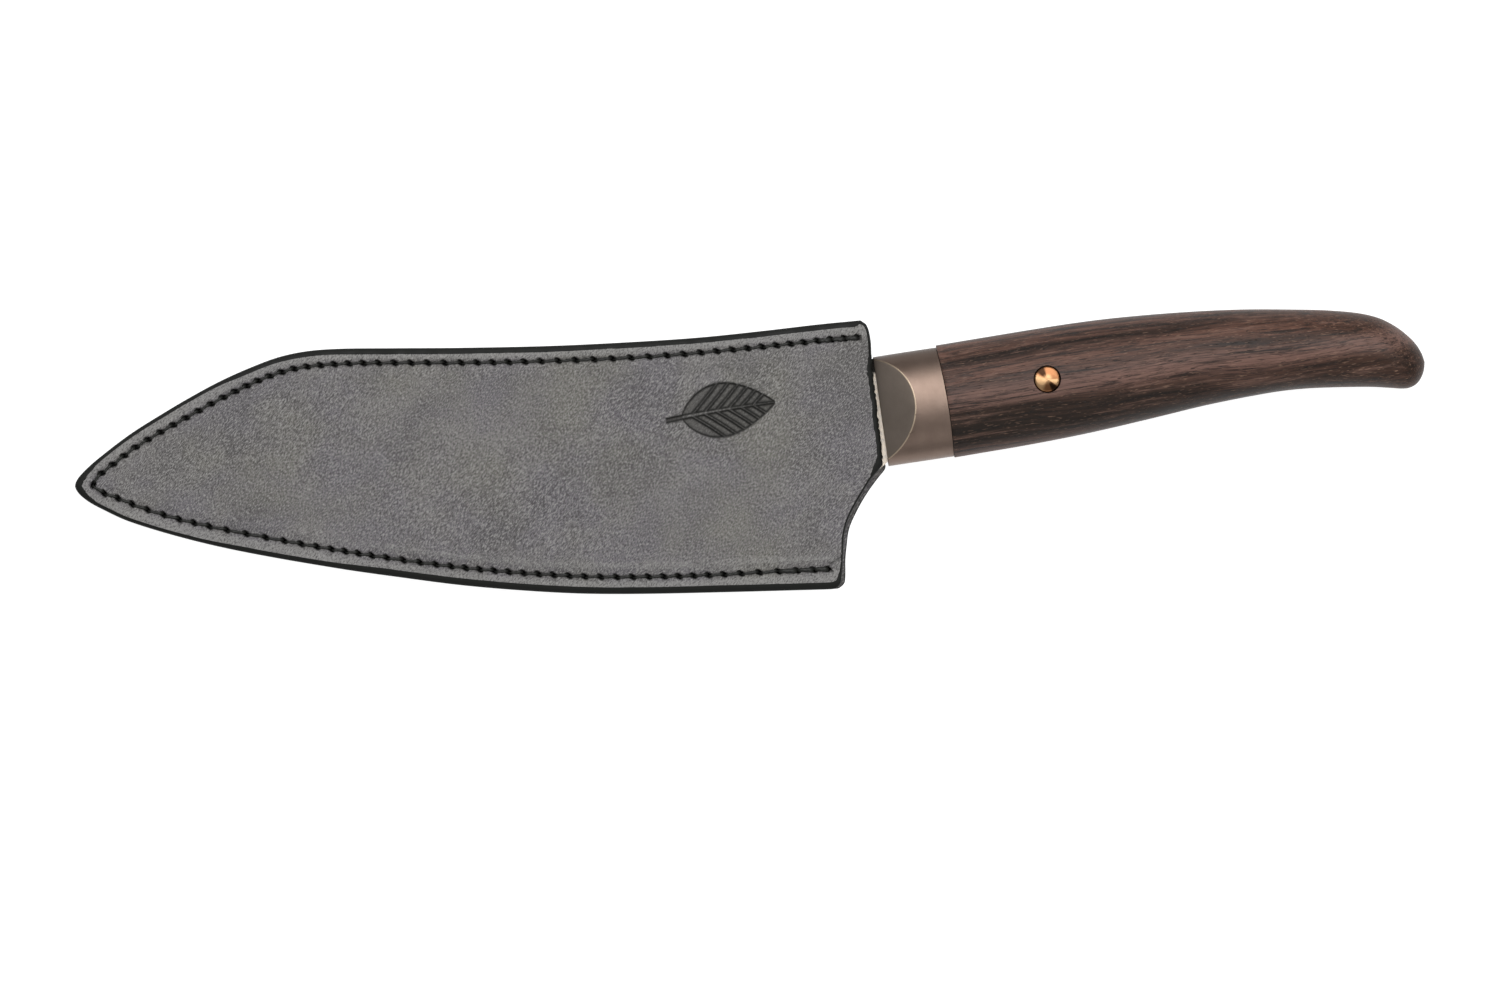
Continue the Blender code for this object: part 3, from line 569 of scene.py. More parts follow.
def wood_look():
    """Oiled dark rosewood: wavy bands and streaks, short pores and flecks and a red butt, with a painted
    shade band along the lower side and a painted highlight band just above the middle.
    """
    k = Look("rosewood", ALONG_HANDLE)
    # the figure is read at coordinates that drift sideways, so that its lines wave
    drift = k.noise(30, stretch=(2.0, 0.5, 0.5), detail=2)
    wave = k.node("VectorMath")
    wave.operation = "MULTIPLY_ADD"
    k.put(wave.inputs[0], drift)
    wave.inputs[1].default_value = (0.0, 5.0 * MM, 5.0 * MM)
    k.put(wave.inputs[2], k.object_coords)
    plain, k.object_coords = k.object_coords, wave.outputs["Vector"]
    bands = k.noise(4.4, stretch=(22.0, 1.0, 1.0))
    streaks = k.noise(1.15, stretch=(34.0, 1.0, 1.0), detail=4, rough=0.65)
    fibres = k.noise(0.28, stretch=(26.0, 1.0, 1.0), rough=0.6)
    pores = k.noise(0.3, stretch=(9.0, 1.0, 1.0), shift=(4.0, 0.0, 2.0), detail=1.5)
    flecks = k.noise(0.22, stretch=(9.0, 1.0, 1.0), shift=(9.0, 5.0, 2.0), detail=1.0)
    far, height, _ = k.split()
    k.object_coords = plain
    # painted shade: a dark band along the lower side, stronger towards the collar
    below, above_bottom = k.spread(height, 2.0 * MM, -2.0 * MM), k.spread(height, -11.0 * MM, -7.0 * MM)
    lower_shade = k.times(k.times(below, above_bottom), k.spread(far, 95 * MM, 60 * MM, 0.5, 0.82))
    # painted highlight: a pale rosy band just above the middle, where the key light is mirrored
    highlight_band = k.times(k.spread(height, -1.5 * MM, 1.5 * MM), k.spread(height, 7.0 * MM, 3.5 * MM))
    butt = k.spread(far, 70 * MM, 125 * MM)
    base = k.ramp(
        bands,
        [
            (0.34, (0.018, 0.0098, 0.0072)),
            (0.43, (0.05, 0.0255, 0.0185)),
            (0.53, (0.088, 0.043, 0.031)),
            (0.66, (0.122, 0.059, 0.042)),
        ],
    )
    red = k.mix(k.times(butt, 0.55), base, (0.076, 0.033, 0.02))
    highlighted = k.mix(k.times(highlight_band, 0.68), red, (0.175, 0.1, 0.082))
    lower_shaded = k.mix(lower_shade, highlighted, (0.0145, 0.0102, 0.0073))
    dark = (streaks, 0.5, 0.33, 0.85, (0.009, 0.0065, 0.0055))
    light = (streaks, 0.52, 0.7, 0.55, (0.175, 0.1, 0.078))
    fine = (fibres, 0.55, 0.32, 0.75, (0.011, 0.0075, 0.006))
    open_pores = (pores, 0.36, 0.28, 0.75, (0.004, 0.003, 0.0025))
    pored = k.over(lower_shaded, [dark, light, fine, open_pores])
    bright = k.times(k.spread(flecks, 0.63, 0.72), k.math("MULTIPLY_ADD", butt, 0.2, 0.35))
    flecked = k.mix(bright, pored, (0.27, 0.165, 0.115))
    k.set(Base_Color=flecked, Specular_IOR_Level=0.2)
    k.set(Roughness=k.spread(streaks, 0.3, 0.7, 0.4, 0.54))
    open_grain = k.math("ADD", k.spread(pores, 0.28, 0.4), k.times(fibres, 0.5))
    k.set(Normal=k.bump(open_grain, 0.035))
    return k.material


def bronze_look(name, dark, light, rough, shade_share=1.0):
    """Satin brown bronze, finely brushed round the collar, with painted shade darkening its flanks."""
    k = Look(name, ALONG_HANDLE)
    brush = k.noise(0.07, stretch=(1.0, 60.0, 60.0), detail=2)
    cloud = k.noise(5.0, detail=4)
    colour = k.ramp(cloud, [(0.3, dark), (0.7, light)])
    # painted shade: darker towards the top flank, and a little towards the bottom one
    toned = k.mix(k.times(k.value("flank_shade"), shade_share), colour, tuple(0.45 * c for c in dark))
    k.set(Base_Color=toned, Metallic=0.95, Anisotropic=0.2)
    k.set(Roughness=k.spread(brush, 0.3, 0.7, rough, rough + 0.1))
    k.set(Normal=k.bump(brush, 0.006))
    return k.material


def copper_look():
    """Turned copper: circular tool marks stretch the reflections into spokes; painted dark and bright
    sectors of reflection, a painted shade round the rim and a painted highlight in the middle add to them.
    """
    k = Look("turned_copper", ALONG_HANDLE)
    tangent = k.node("Tangent")
    tangent.direction_type = "RADIAL"
    tangent.axis = "Z"
    k.set(Tangent=tangent.outputs["Tangent"])
    # painted reflection in the colour: bright sectors and middle, then dark sectors and the shaded rim
    painted_bright = k.mix(k.value("painted_bright"), (0.27, 0.12, 0.054), (0.6, 0.37, 0.19))
    shaded_copper = k.mix(k.value("painted_dark"), painted_bright, (0.035, 0.017, 0.009))
    k.set(Base_Color=shaded_copper, Metallic=1.0, Roughness=0.28, Anisotropic=0.85)
    return k.material


def steel_look():
    """Ground blade steel with fine grinding lines from back to edge; at its root a painted pale reflection
    and, in the upper corner, a painted shade.
    """
    k = Look("ground_steel")
    lines = k.noise(0.12, stretch=(1.0, 90.0, 4.0))
    cloud = k.noise(35.0, detail=2)
    colour = k.ramp(cloud, [(0.3, (0.29, 0.29, 0.287)), (0.7, (0.325, 0.323, 0.319))])
    far, height, _ = k.split()
    root = k.spread(far, -6.0 * MM, -3.0 * MM)
    worn = k.noise(1.3)
    # painted reflection: a patchy pale cream tint over the root
    root_glint = k.mix(k.times(root, k.spread(worn, 0.3, 0.6, 0.5, 0.95)), colour, (0.56, 0.49, 0.41))
    # painted shade: the root's upper corner, towards the back, is near black
    corner = k.times(root, k.spread(height, 8.9 * MM, 9.9 * MM))
    waxed = k.mix(corner, root_glint, (0.012, 0.011, 0.01))
    k.set(Base_Color=waxed, Metallic=1.0, Anisotropic=0.3)
    k.set(Roughness=k.spread(lines, 0.3, 0.7, 0.36, 0.48))
    k.set(Normal=k.bump(lines, 0.006))
    return k.material


def resin_look():
    """Cured brown resin, cloudy and with fine bubbles."""
    k = Look("resin")
    cloud = k.noise(6.0)
    bubbles = k.cells(0.9)
    colour = k.ramp(cloud, [(0.3, (0.085, 0.066, 0.055)), (0.7, (0.14, 0.112, 0.095))])
    k.set(Base_Color=k.mix(k.spread(bubbles, 0.25, 0.1, 0.0, 0.5), colour, (0.2, 0.17, 0.15)))
    k.set(Roughness=k.spread(cloud, 0.3, 0.7, 0.4, 0.55))
    k.set(Normal=k.bump(bubbles, 0.05))
    return k.material


# ---------------------------------------------------------------- sheath


def stitch_places():
    """Where each hole is and which way the seam runs there; one hole sits on the seam's corner."""
    line = curve(SEAM, 0.3)
    run = lengths(line)
    corner = along(np.array([SEAM_CORNER]), line)[2][0]
    marks = [0.0]
    for end in (corner, run[-1]):
        start = marks[-1]
        leg = [start]
        while leg[-1] < end:
            leg.append(leg[-1] + float(at(STITCHES, leg[-1])))
        fit = (end - start) / (leg[-1] - start)
        marks += [start + (s - start) * fit for s in leg[1:]]
    way = read(ways(line), run, marks)
    return read(line, run, marks), way / np.linalg.norm(way, axis=1)[:, None]


def turned(way, angle):
    """Directions turned by an angle."""
    c, s = math.cos(angle), math.sin(angle)
    return np.column_stack([way[:, 0] * c - way[:, 1] * s, way[:, 0] * s + way[:, 1] * c])


def leaf(points):
    """How deep a plain veined leaf is pressed at each point, and how near the pressed border is."""
    across = points - STAMP_AT
    x = across[:, 0] * math.cos(STAMP_TILT) + across[:, 1] * math.sin(STAMP_TILT)
    y = across[:, 1] * math.cos(STAMP_TILT) - across[:, 0] * math.sin(STAMP_TILT)
    stem_x, tip_x = -STAMP_HALF[0] + LEAF_STEM, STAMP_HALF[0]
    long = tip_x - stem_x
    t = np.clip((x - stem_x) / long, 0, 1)
    half = STAMP_HALF[1] * np.sin(math.pi * t**0.8) ** 0.85
    from_rib = np.abs(y - 0.35 * np.sin(t * 2.6))
    leaf_gap = np.where((x < stem_x) | (x > tip_x), -NOT_PRESSED, half - from_rib)
    stem_gap = 0.55 - np.abs(y - 0.06 * (x - stem_x))
    stem_gap = np.where((x > stem_x + 0.4) | (x < -STAMP_HALF[0]), -NOT_PRESSED, stem_gap)
    vein = from_rib - (0.42 - 0.28 * t)
    for start in np.linspace(0.1, 0.76, 6):
        reach = x - stem_x - long * start
        branch = np.abs(from_rib - 0.8 * reach - 0.012 * reach**2) * 0.76 - 0.2
        vein = np.minimum(vein, np.where(reach > -0.2, branch, NOT_PRESSED))
    raised = np.where(leaf_gap > stem_gap, vein, NOT_PRESSED)
    gap = np.minimum(np.maximum(leaf_gap, stem_gap), raised)
    return ease(gap, -0.08, 0.3), bell(gap - 0.08, 0.37)


def panel_loop(mouth, frayed):
    """A panel's outline and its inward directions; the front panel's raw lip is a little frayed."""
    loop = even(np.vstack([curve(OUTLINE), curve(mouth, 0.3)]), LOOP_STEP, closed=True)
    inward = left_of(ways(loop, closed=True))
    if frayed:
        fray = ease(loop[:, 0], -6, -3) * ease(loop[:, 1], -13.5, -11) * ease(loop[:, 1], 15, 11)
        loop = loop + inward * (fray * rng.uniform(-0.05, 0.3, len(loop)))[:, None]
    return loop, inward


def panel_points(loop, inward, seam, patches):
    """The loop, then rings along the edge, rows along the seam, fine patches and an open field."""
    clouds = []
    for depth in EDGE_RINGS:
        ring = loop + inward * depth
        far = along(ring, loop, closed=True)[0]
        clouds.append(ring[(far > depth - 0.03) & inside(ring, loop)])
    row = even(seam, 0.28)
    row_left = left_of(ways(row))
    for shift in SEAM_ROWS:
        for sign in (1, -1) if shift else (1,):
            line = row + row_left * (shift * sign)
            far = along(line, seam)[0]
            clouds.append(line[far > abs(shift) - 0.02])
    for middle, half in patches:
        gx, gy = np.meshgrid(*(np.arange(-h, h, FINE_STEP) for h in half))
        grid = np.column_stack([gx.ravel(), gy.ravel()]) + middle
        clouds.append(grid[inside(grid, loop) & (along(grid, loop, closed=True)[0] > 0.5)])
    low, high = loop.min(0), loop.max(0)
    gx, gy = np.meshgrid(np.arange(low[0], high[0], 1.25), np.arange(low[1], high[1], 1.1))
    gx[1::2] += 0.62
    field = np.column_stack([gx.ravel(), gy.ravel()])
    keep = inside(field, loop)
    keep &= along(field, loop, closed=True)[0] > 2.5
    keep &= along(field, seam)[0] > 2.7
    for middle, half in patches:
        keep &= (np.abs(field - middle) > np.array(half) + 0.3).any(axis=1)
    clouds.append(field[keep])
    points = np.round(np.vstack([loop] + clouds), 5)
    return np.vstack([points[: len(loop)], np.unique(points[len(loop) :], axis=0)])


def rim_width(x, y, lower):
    """How far the rounded black edge reaches in: wider along the edge side, at the tip and at the nose."""
    rim = 1.0 + lower * (0.6 * ease(x, -175, -110) + 0.1 * ease(x, -60, -14))
    rim = rim + 0.45 * (1 - lower) * ease(x, -165, -140)
    rim = rim + 0.6 * ease(-x, 192.5, 196.5)
    nose = 0.6 * bell(y + 13.0, 1.9)
    lip = 0.45 + 0.65 * ease(y, -17, -12) + nose - 0.4 * ease(y, 11, 14)
    return rim + (lip - rim) * np.where(y > 12, ease(x, -5.6, -4.2), ease(x, -13.5, -11.0))


def slit_marks(points):
    """How far each point lies in an awl slit, and in the leather that is puckered up round one."""
    hole = np.zeros(len(points))
    pucker = np.zeros(len(points))
    spots, way = stitch_places()
    for spot, direction in zip(spots, turned(way, SLIT_TURN)):
        near = np.nonzero((np.abs(points - spot) < 2.4).all(axis=1))[0]
        rel = points[near] - spot
        a = rel @ direction
        b = rel @ np.array([-direction[1], direction[0]])
        reach = np.sqrt((a / SLIT_LONG) ** 2 + (b / SLIT_WIDE) ** 2)
        hole[near] = np.maximum(hole[near], ease(reach, 1.15, 0.75))
        ring = np.sqrt((a / (SLIT_LONG + 0.35)) ** 2 + (b / (SLIT_WIDE + 0.45)) ** 2)
        pucker[near] = np.maximum(pucker[near], bell(ring - 1.0, 0.42))
    return hole, pucker


def panel_shell(points, height, faces, loop, inward, side):
    """The solid panel: its height field, the wall below the loop and the flat inner face."""
    count, n = len(points), len(loop)
    lining = loop + inward * 0.3
    inner = [np.column_stack([ring, np.full(n, INNER)]) for ring in (loop, lining)]
    verts = np.vstack([np.column_stack([points, height])] + inner)
    verts[:, 2] *= side
    shell = faces + tube(2, n, count, flip=True)
    shell += [(i, count + i, count + (i + 1) % n, (i + 1) % n) for i in range(n)]
    shell += [tuple(count + n + i for i in face)[::-1] for face in fill(lining, n)]
    return verts, [face if side > 0 else face[::-1] for face in shell]


def panel(name, mouth, side, look, node, stamped):
    """One leather panel as a fine height field over its outline, with flat back and burnished edge."""
    seam = curve(SEAM, 0.3)
    loop, inward = panel_loop(mouth, frayed=side > 0)
    patches = [(np.array(STAMP_AT), (15.0, 8.2)), (np.mean(FOLD, axis=0), (2.6, 1.9))] if stamped else []
    points = panel_points(loop, inward, seam, patches)
    count, n = len(points), len(loop)
    faces = fill(points, n)

    to_edge = along(points, loop, closed=True)[0]
    to_edge[:n] = 0.0
    to_seam, hand, _ = along(points, seam)
    outside = (hand < 0) & (to_seam > 0.05)
    x, y = points[:, 0], points[:, 1]
    lower = ease(-y, 14.0, 19.0)
    rim = rim_width(x, y, lower)
    groove = bell(to_seam, GROOVE_WIDE)
    hole, pucker = slit_marks(points)
    # painted highlight along the ridge inside the seam on the lower side, carried in the border mask
    ridge_highlight = 0.9 * bell(to_seam - 2.7, 0.55) * (~outside) * lower * ease(x, -150, -110)
    crease, stamp, border_line = np.zeros((3, count))
    if stamped:
        crease = bell(along(points, np.array(FOLD))[0], 0.2)
        near = (np.abs(points - STAMP_AT) < (15.4, 8.6)).all(axis=1)
        stamp[near], border_line[near] = leaf(points[near])

    ratio = np.clip(1 - to_edge / rim, 0, 1)
    height = OUTER - FACE_SINK - EDGE_DROP * (1 - np.sqrt(1 - ratio**2))
    height += ease(to_seam, 0.5, 2.4) * np.where(outside, 0.12, 0.26)
    height += bell(to_seam - 3.0, 0.9) * (~outside) * 0.16
    height += 0.06 * np.sin(x / 17 + 1.0) * np.sin(y / 13 + 0.6) * ease(to_seam, 1, 8)
    height -= GROOVE_DEEP * groove * (1 - 0.35 * pucker)
    height += PUCKER * pucker * (1 - hole)
    height -= SLIT_DEEP * hole
    height -= STAMP_DEEP * stamp + FOLD_DEEP * crease
    height[:n] = OUTER - FACE_SINK - EDGE_DROP

    verts, faces = panel_shell(points, height, faces, loop, inward, side)
    masks = {
        "hole": hole,
        # the groove mask carries the painted shade of the seam's groove and of the crease
        "groove": np.maximum(groove, crease * 0.9),
        "border": ease(to_seam, 0.6, 1.6) * outside + ridge_highlight,
        "stamp": stamp,
        "line": border_line,
    }
    values = {key: np.concatenate([mask, np.zeros(2 * n)]) for key, mask in masks.items()}
    values["edge"] = np.concatenate([ease(to_edge, rim * 1.12, rim * 0.88), np.repeat([1.0, 0.3], n)])
    return piece(name, verts, faces, look, "sheath", [node], values=values)


def welt(name, node, look, top_run):
    """The packing strip: a band between outline and blade room with a burnished, slightly hollow edge."""
    outline = even(np.vstack([curve(OUTLINE), curve(MOUTH_FRONT, 0.3)[:2]]), WELT_STEP)
    tip = np.array([(-193.0, -13.6)])
    out_at = along(tip, outline)[2][0]
    run = lengths(outline)
    # the blade's border, from the mouth round the tip and back to the mouth
    ahead, behind = [(-2.4, 13.0), (-12.0, 13.0)], [(-11.2, -35.1)]
    border = even(np.vstack([ahead, curve(BLADE_BACK), curve(BLADE_EDGE)[1:], behind]), WELT_STEP)
    room = border - left_of(ways(border)) * BLADE_ROOM
    in_run = lengths(room)
    in_at = along(tip, room)[2][0]
    if top_run:
        outer, inner = outline[run < out_at - 0.1], room[in_run < in_at - 0.1]
    else:
        outer, inner = outline[run > out_at + 0.1], room[in_run > in_at + 0.1]
    loop = np.vstack([outer, inner[::-1]])
    n = len(loop)
    on_outline = np.arange(n) < len(outer)
    inward = left_of(ways(loop, closed=True))
    verts = []
    for z, tuck in WELT_BORDERS:
        shift = np.where(on_outline, tuck, 0.0)[:, None]
        verts.append(np.column_stack([loop + inward * shift, np.full(n, z)]))
    levels = len(WELT_BORDERS)
    faces = tube(levels, n)
    cap = fill(loop, n)
    faces += [face[::-1] for face in cap]
    faces += [tuple((levels - 1) * n + i for i in face) for face in cap]
    values = {key: np.zeros(levels * n) for key in ("hole", "groove", "border", "stamp", "line")}
    values["edge"] = np.tile(np.where(on_outline, 1.0, 0.3), levels)
    return piece(name, np.vstack(verts), faces, look, "sheath", [node], values=values)


def strand(start, end, side, lift, twist, radius):
    """One stitch that dives into a slit at each end, pulled thick at its end nearer the mouth."""
    t = np.linspace(0, 1, THREAD_RINGS)
    thick = ease(t, 0.45, 1.0) if end[0] > start[0] else ease(t, 0.45, 0.0)
    z = OUTER - 0.3 + lift - 1.15 * np.abs(2 * t - 1) ** 5
    line = np.column_stack([start + (end - start) * t[:, None], z])
    way = np.gradient(line, axis=0)
    way /= np.linalg.norm(way, axis=1)[:, None]
    across = np.cross(way, (0, 0, 1.0))
    across /= np.linalg.norm(across, axis=1)[:, None]
    up = np.cross(across, way)
    verts = []
    for k in range(THREAD_RINGS):
        for a in range(THREAD_SIDES):
            angle = 2 * math.pi * a / THREAD_SIDES
            ply = 1 + 0.11 * math.cos(2 * angle + twist + t[k] * 16)
            r = radius * ply * (1 + 0.6 * thick[k])
            p = line[k] + across[k] * (r * math.cos(angle)) + up[k] * (0.85 * r * math.sin(angle))
            verts.append((p[0], p[1], p[2] * side))
    faces = tube(THREAD_RINGS, THREAD_SIDES)
    faces.append(tuple(range(THREAD_SIDES))[::-1])
    faces.append(tuple(range(len(verts) - THREAD_SIDES, len(verts))))
    return verts, [face if side < 0 else face[::-1] for face in faces]


def stitching(look):
    """The waxed thread: a twisted strand from slit to slit on both faces, doubled at both ends."""
    spots, way = stitch_places()
    slit_way = turned(way, SLIT_TURN)
    last = len(spots) - 1
    verts = []
    faces = []

    def add(*strand_values):
        more, quads = strand(*strand_values)
        faces.extend(tuple(len(verts) + i for i in quad) for quad in quads)
        verts.extend(more)

    for side in (1, -1):
        for i in range(last):
            start = spots[i] + slit_way[i] * HOLE_REACH + rng.normal(0, 0.03, 2)
            end = spots[i + 1] - slit_way[i + 1] * HOLE_REACH + rng.normal(0, 0.03, 2)
            add(start, end, side, rng.uniform(-0.04, 0.05), rng.uniform(0, 6), THREAD_RADIUS)
            if i < DOUBLED or i >= last - DOUBLED:
                off = left_of(way[i : i + 1])[0] * 0.42
                add(start + off, end - off * 0.6, side, 0.34, rng.uniform(0, 6), 0.47)
    return piece("stitching", verts, faces, look, "sheath", ["seam_thread"], sharp=80)


# ---------------------------------------------------------------- knife


def tang_border(extra, start, end):
    """The tang's border made larger by extra, in the handle's own directions."""
    us = np.linspace(start, end, 12)
    in_wood = np.maximum(us, JOINT_AT)
    middle = (at(WOOD_TOP, in_wood) + at(WOOD_BOTTOM, in_wood)) / 2
    half = TANG_HALF - TANG_TAPER * np.maximum(us, 0.0) / TANG_LONG + extra
    return np.vstack([np.column_stack([us, middle - half]), np.column_stack([us, middle + half])[::-1]])


def pin_bore():
    """The round hole for the cross pin, through the handle and the tang."""
    return block(ring_of(PIN_AT, BORE_RADIUS, 64), 20.0)


def blade_thickness(x, f):
    """Thickness at the share f of the way down from back to edge: thinner towards edge and tip."""
    spine = BLADE_THICK * (1 - 0.62 * np.clip((-x - 20) / 167, 0, 1) ** 1.6)
    wedge = EDGE_THICK + (spine - EDGE_THICK) * (1 - f) ** 0.9
    if f > BEVEL_AT:
        wedge = EDGE_THICK * (1 - (f - BEVEL_AT) / (1 - BEVEL_AT)) + 0.03
    grind = ease(-x, 1.5, 13.0)
    return wedge * grind + BLADE_THICK * (1 - grind)


def blade(look):
    """Blade and tang in one: flat grind, eased back, cutting bevel, choil, and a bored stick tang."""
    edge_pairs = [BLADE_BACK[-1]] + BLADE_EDGE + [(HIDDEN_END, HEEL_HEIGHT)]
    back_pairs = BLADE_BACK[::-1] + [(HIDDEN_END, BACK_HEIGHT)]
    heel = [(-12.6, HEEL_HEIGHT)]
    rear = np.vstack([heel, curve(CHOIL), [(1.25, -12.9), (1.6, -12.7), (-1.4, BACK_HEIGHT)]])
    rear = rear[np.argsort(rear[:, 1])]
    shares = np.concatenate([[0.0, 0.006], np.linspace(0.03, 0.97, 26), [BEVEL_AT, 0.993, 1.0]])
    n, m = BLADE_COLUMNS, len(shares)
    c = np.linspace(0, 1, n) ** 0.9
    grid = np.zeros((n, m, 3))
    for row, f in enumerate(shares):
        end = np.interp(BACK_HEIGHT + (HEEL_HEIGHT - BACK_HEIGHT) * f, rear[:, 1], rear[:, 0])
        x = BLADE_TIP + (end - BLADE_TIP) * c
        top, low = at(back_pairs, x), at(edge_pairs, x)
        half = blade_thickness(x, f) / 2 - (0.22 if f == 0.0 else 0.0)
        grid[:, row] = np.column_stack([x, top + (low - top) * f, half])
    grid[0, :, 2] = 0.05

    front = grid.reshape(-1, 3)
    verts = np.vstack([front, front * (1, 1, -1)])
    behind = n * m
    faces = []
    for i in range(n - 1):
        for j in range(m - 1):
            quad = (i * m + j, i * m + j + 1, (i + 1) * m + j + 1, (i + 1) * m + j)
            faces.append(quad)
            faces.append(tuple(behind + k for k in (quad[0], quad[3], quad[2], quad[1])))
        top, low = i * m, i * m + m - 1
        faces.append((top, top + m, top + m + behind, top + behind))
        faces.append((low, low + behind, low + m + behind, low + m))
    for j in range(m - 1):
        for base, flip in ((0, False), ((n - 1) * m, True)):
            quad = (base + j, base + j + behind, base + j + 1 + behind, base + j + 1)
            faces.append(quad[::-1] if flip else quad)
    thing = piece("ground_blade", verts, faces, look, "knife", ["blade"], sharp=25)
    combine(thing, block(tang_border(0.0, -2.5, TANG_LONG), TANG_THICK / 2), "UNION", 25)
    combine(thing, pin_bore(), "DIFFERENCE", 25)
    return thing


def joint_shift(v, z):
    """How far the collar's back face lies behind a flat one."""
    return JOINT_LEAN * (COLLAR_TOP[0][1] - v) + JOINT_DOME * (z / COLLAR_HALF) ** 2


def ovals(stations, sides):
    """Points and faces through oval sections (u, bottom, top, half thickness, joint share)."""
    turn = np.linspace(0, 2 * math.pi, sides, endpoint=False)
    verts = []
    for u, low, high, half, share in stations:
        v = (low + high) / 2 + (high - low) / 2 * np.cos(turn)
        z = half * np.sin(turn)
        verts.append(np.column_stack([u + share * joint_shift(v, z), v, z]))
    faces = tube(len(stations), sides, flip=True)
    faces.append(tuple(range(sides)))
    last = (len(stations) - 1) * sides
    faces.append(tuple(range(last, last + sides))[::-1])
    return np.vstack(verts), faces


def grind_facet(work, side):
    """Cut one flat facet on the collar, with its own bronze and a thin bevelled rim in bright bronze, a
    painted highlight; work is in metres.
    """
    slope = math.atan(FACET_SLOPE)
    square = Matrix.Rotation(-HANDLE_TURN, 3, "Z")
    normal = square @ Vector((-math.sin(slope), 0.0, side * math.cos(slope)))
    through = square @ Vector((COLLAR_FACE, 0.0, side * FACET_START)) * MM
    made = bmesh.ops.bisect_plane(
        work,
        geom=work.verts[:] + work.edges[:] + work.faces[:],
        plane_co=ALONG_HANDLE @ through,
        plane_no=ALONG_HANDLE.to_3x3() @ normal,
        clear_outer=True,
        dist=1e-7,
    )
    rim = [e for e in made["geom_cut"] if isinstance(e, bmesh.types.BMEdge) and e.is_boundary]
    for face in bmesh.ops.edgeloop_fill(work, edges=rim)["faces"]:
        face.material_index = 2
    # the rim's bevel gets the bright bronze, a painted highlight
    bmesh.ops.bevel(
        work, geom=rim, offset=FACET_RIM * MM, segments=2, profile=0.5, affect="EDGES", material=1
    )


def collar(look, worn, toned):
    """Bronze collar: smooth oval body with painted shade on its flanks, two flat facets with thin rims of
    painted highlight, and a slot for the tang.
    """
    stations = []
    for u in (COLLAR_FACE, COLLAR_FACE + BREAK_EDGE, 2.0, 4.0, 6.0, 8.0, 10.0, 12.0, 14.0):
        tuck = BREAK_EDGE if u == COLLAR_FACE else 0.0
        low, high = at(COLLAR_BOTTOM, u) + tuck, at(COLLAR_TOP, u) - tuck
        stations.append((u, low, high, COLLAR_HALF - tuck, 0.0))
    stations.append((JOINT_AT - 0.08, -13.42, 13.64, COLLAR_HALF, 1.0))
    stations.append((JOINT_AT, -13.34, 13.56, COLLAR_HALF - 0.08, 1.0))
    verts, faces = ovals(stations, 128)
    # painted shade on the flanks: full on the top one, a quarter on the bottom one
    values = {"flank_shade": ease(verts[:, 1], 8.0, 13.4) + 0.25 * ease(-verts[:, 1], 8.0, 13.4)}
    thing = piece(
        "bronze_collar", verts, faces, look, "knife", ["bolster"], ALONG_HANDLE, values, 30
    )
    # the second material is the bright bronze of the painted highlight round the facets, the third the
    # facets' own bronze
    thing.data.materials.append(worn)
    thing.data.materials.append(toned)
    work = bmesh.new()
    work.from_mesh(thing.data)
    for side in (1, -1):
        grind_facet(work, side)
    bmesh.ops.recalc_face_normals(work, faces=work.faces)
    work.to_mesh(thing.data)
    work.free()
    slot = block(tang_border(TANG_ROOM, -3.0, 22.0), BLADE_THICK / 2 + TANG_ROOM)
    combine(thing, slot, "DIFFERENCE", 14)
    return thing


def handle(look):
    """One-piece rosewood handle with a mortise for the tang, bored for the cross pin."""
    us = np.concatenate(
        [
            [JOINT_AT + 0.05, JOINT_AT + 0.2],
            np.linspace(JOINT_AT + 1.2, 112, 70),
            np.linspace(113, 128, 24),
            133.5 - 5.2 * (1 - np.sin(np.linspace(0, math.pi / 2, 22)[:-1])),
            [133.47],
        ]
    )
    stations = []
    for k, u in enumerate(us):
        share = float(ease(-u, -JOINT_AT - 14.0, -JOINT_AT - 0.3))
        tuck = 0.1 if k == 0 else 0.0
        low, high, half = at(WOOD_BOTTOM, u) + tuck, at(WOOD_TOP, u) - tuck, at(WOOD_HALF, u) - tuck
        stations.append((u, low, high, half, share))
    verts, faces = ovals(stations, 112)
    thing = piece(
        "rosewood_handle", verts, faces, look, "knife", ["handle"], where=ALONG_HANDLE, sharp=50
    )
    mortise = block(tang_border(MORTISE_ROOM, 10.0, TANG_LONG + 2.0), MORTISE_HALF)
    combine(thing, mortise, "DIFFERENCE", 40)
    combine(thing, pin_bore(), "DIFFERENCE", 40)
    return thing


def pin_profile():
    """(radius, height) from the middle of the pin's dome down to its shank."""
    profile = [(0.0, PIN_SHOULDER + PIN_DOME)]
    for a in np.linspace(0.06, 1.0, 14):
        dome = PIN_DOME * math.sqrt(max(1 - (0.97 * a) ** 2, 0.0))
        profile.append((PIN_RADIUS * a, PIN_SHOULDER + dome))
    profile.append((PIN_RADIUS, PIN_SHOULDER - 0.5))
    profile.append((SHANK_RADIUS, PIN_SHOULDER - 1.0))
    profile.append((SHANK_RADIUS - 0.1, PIN_SHOULDER - 6.0))
    return profile


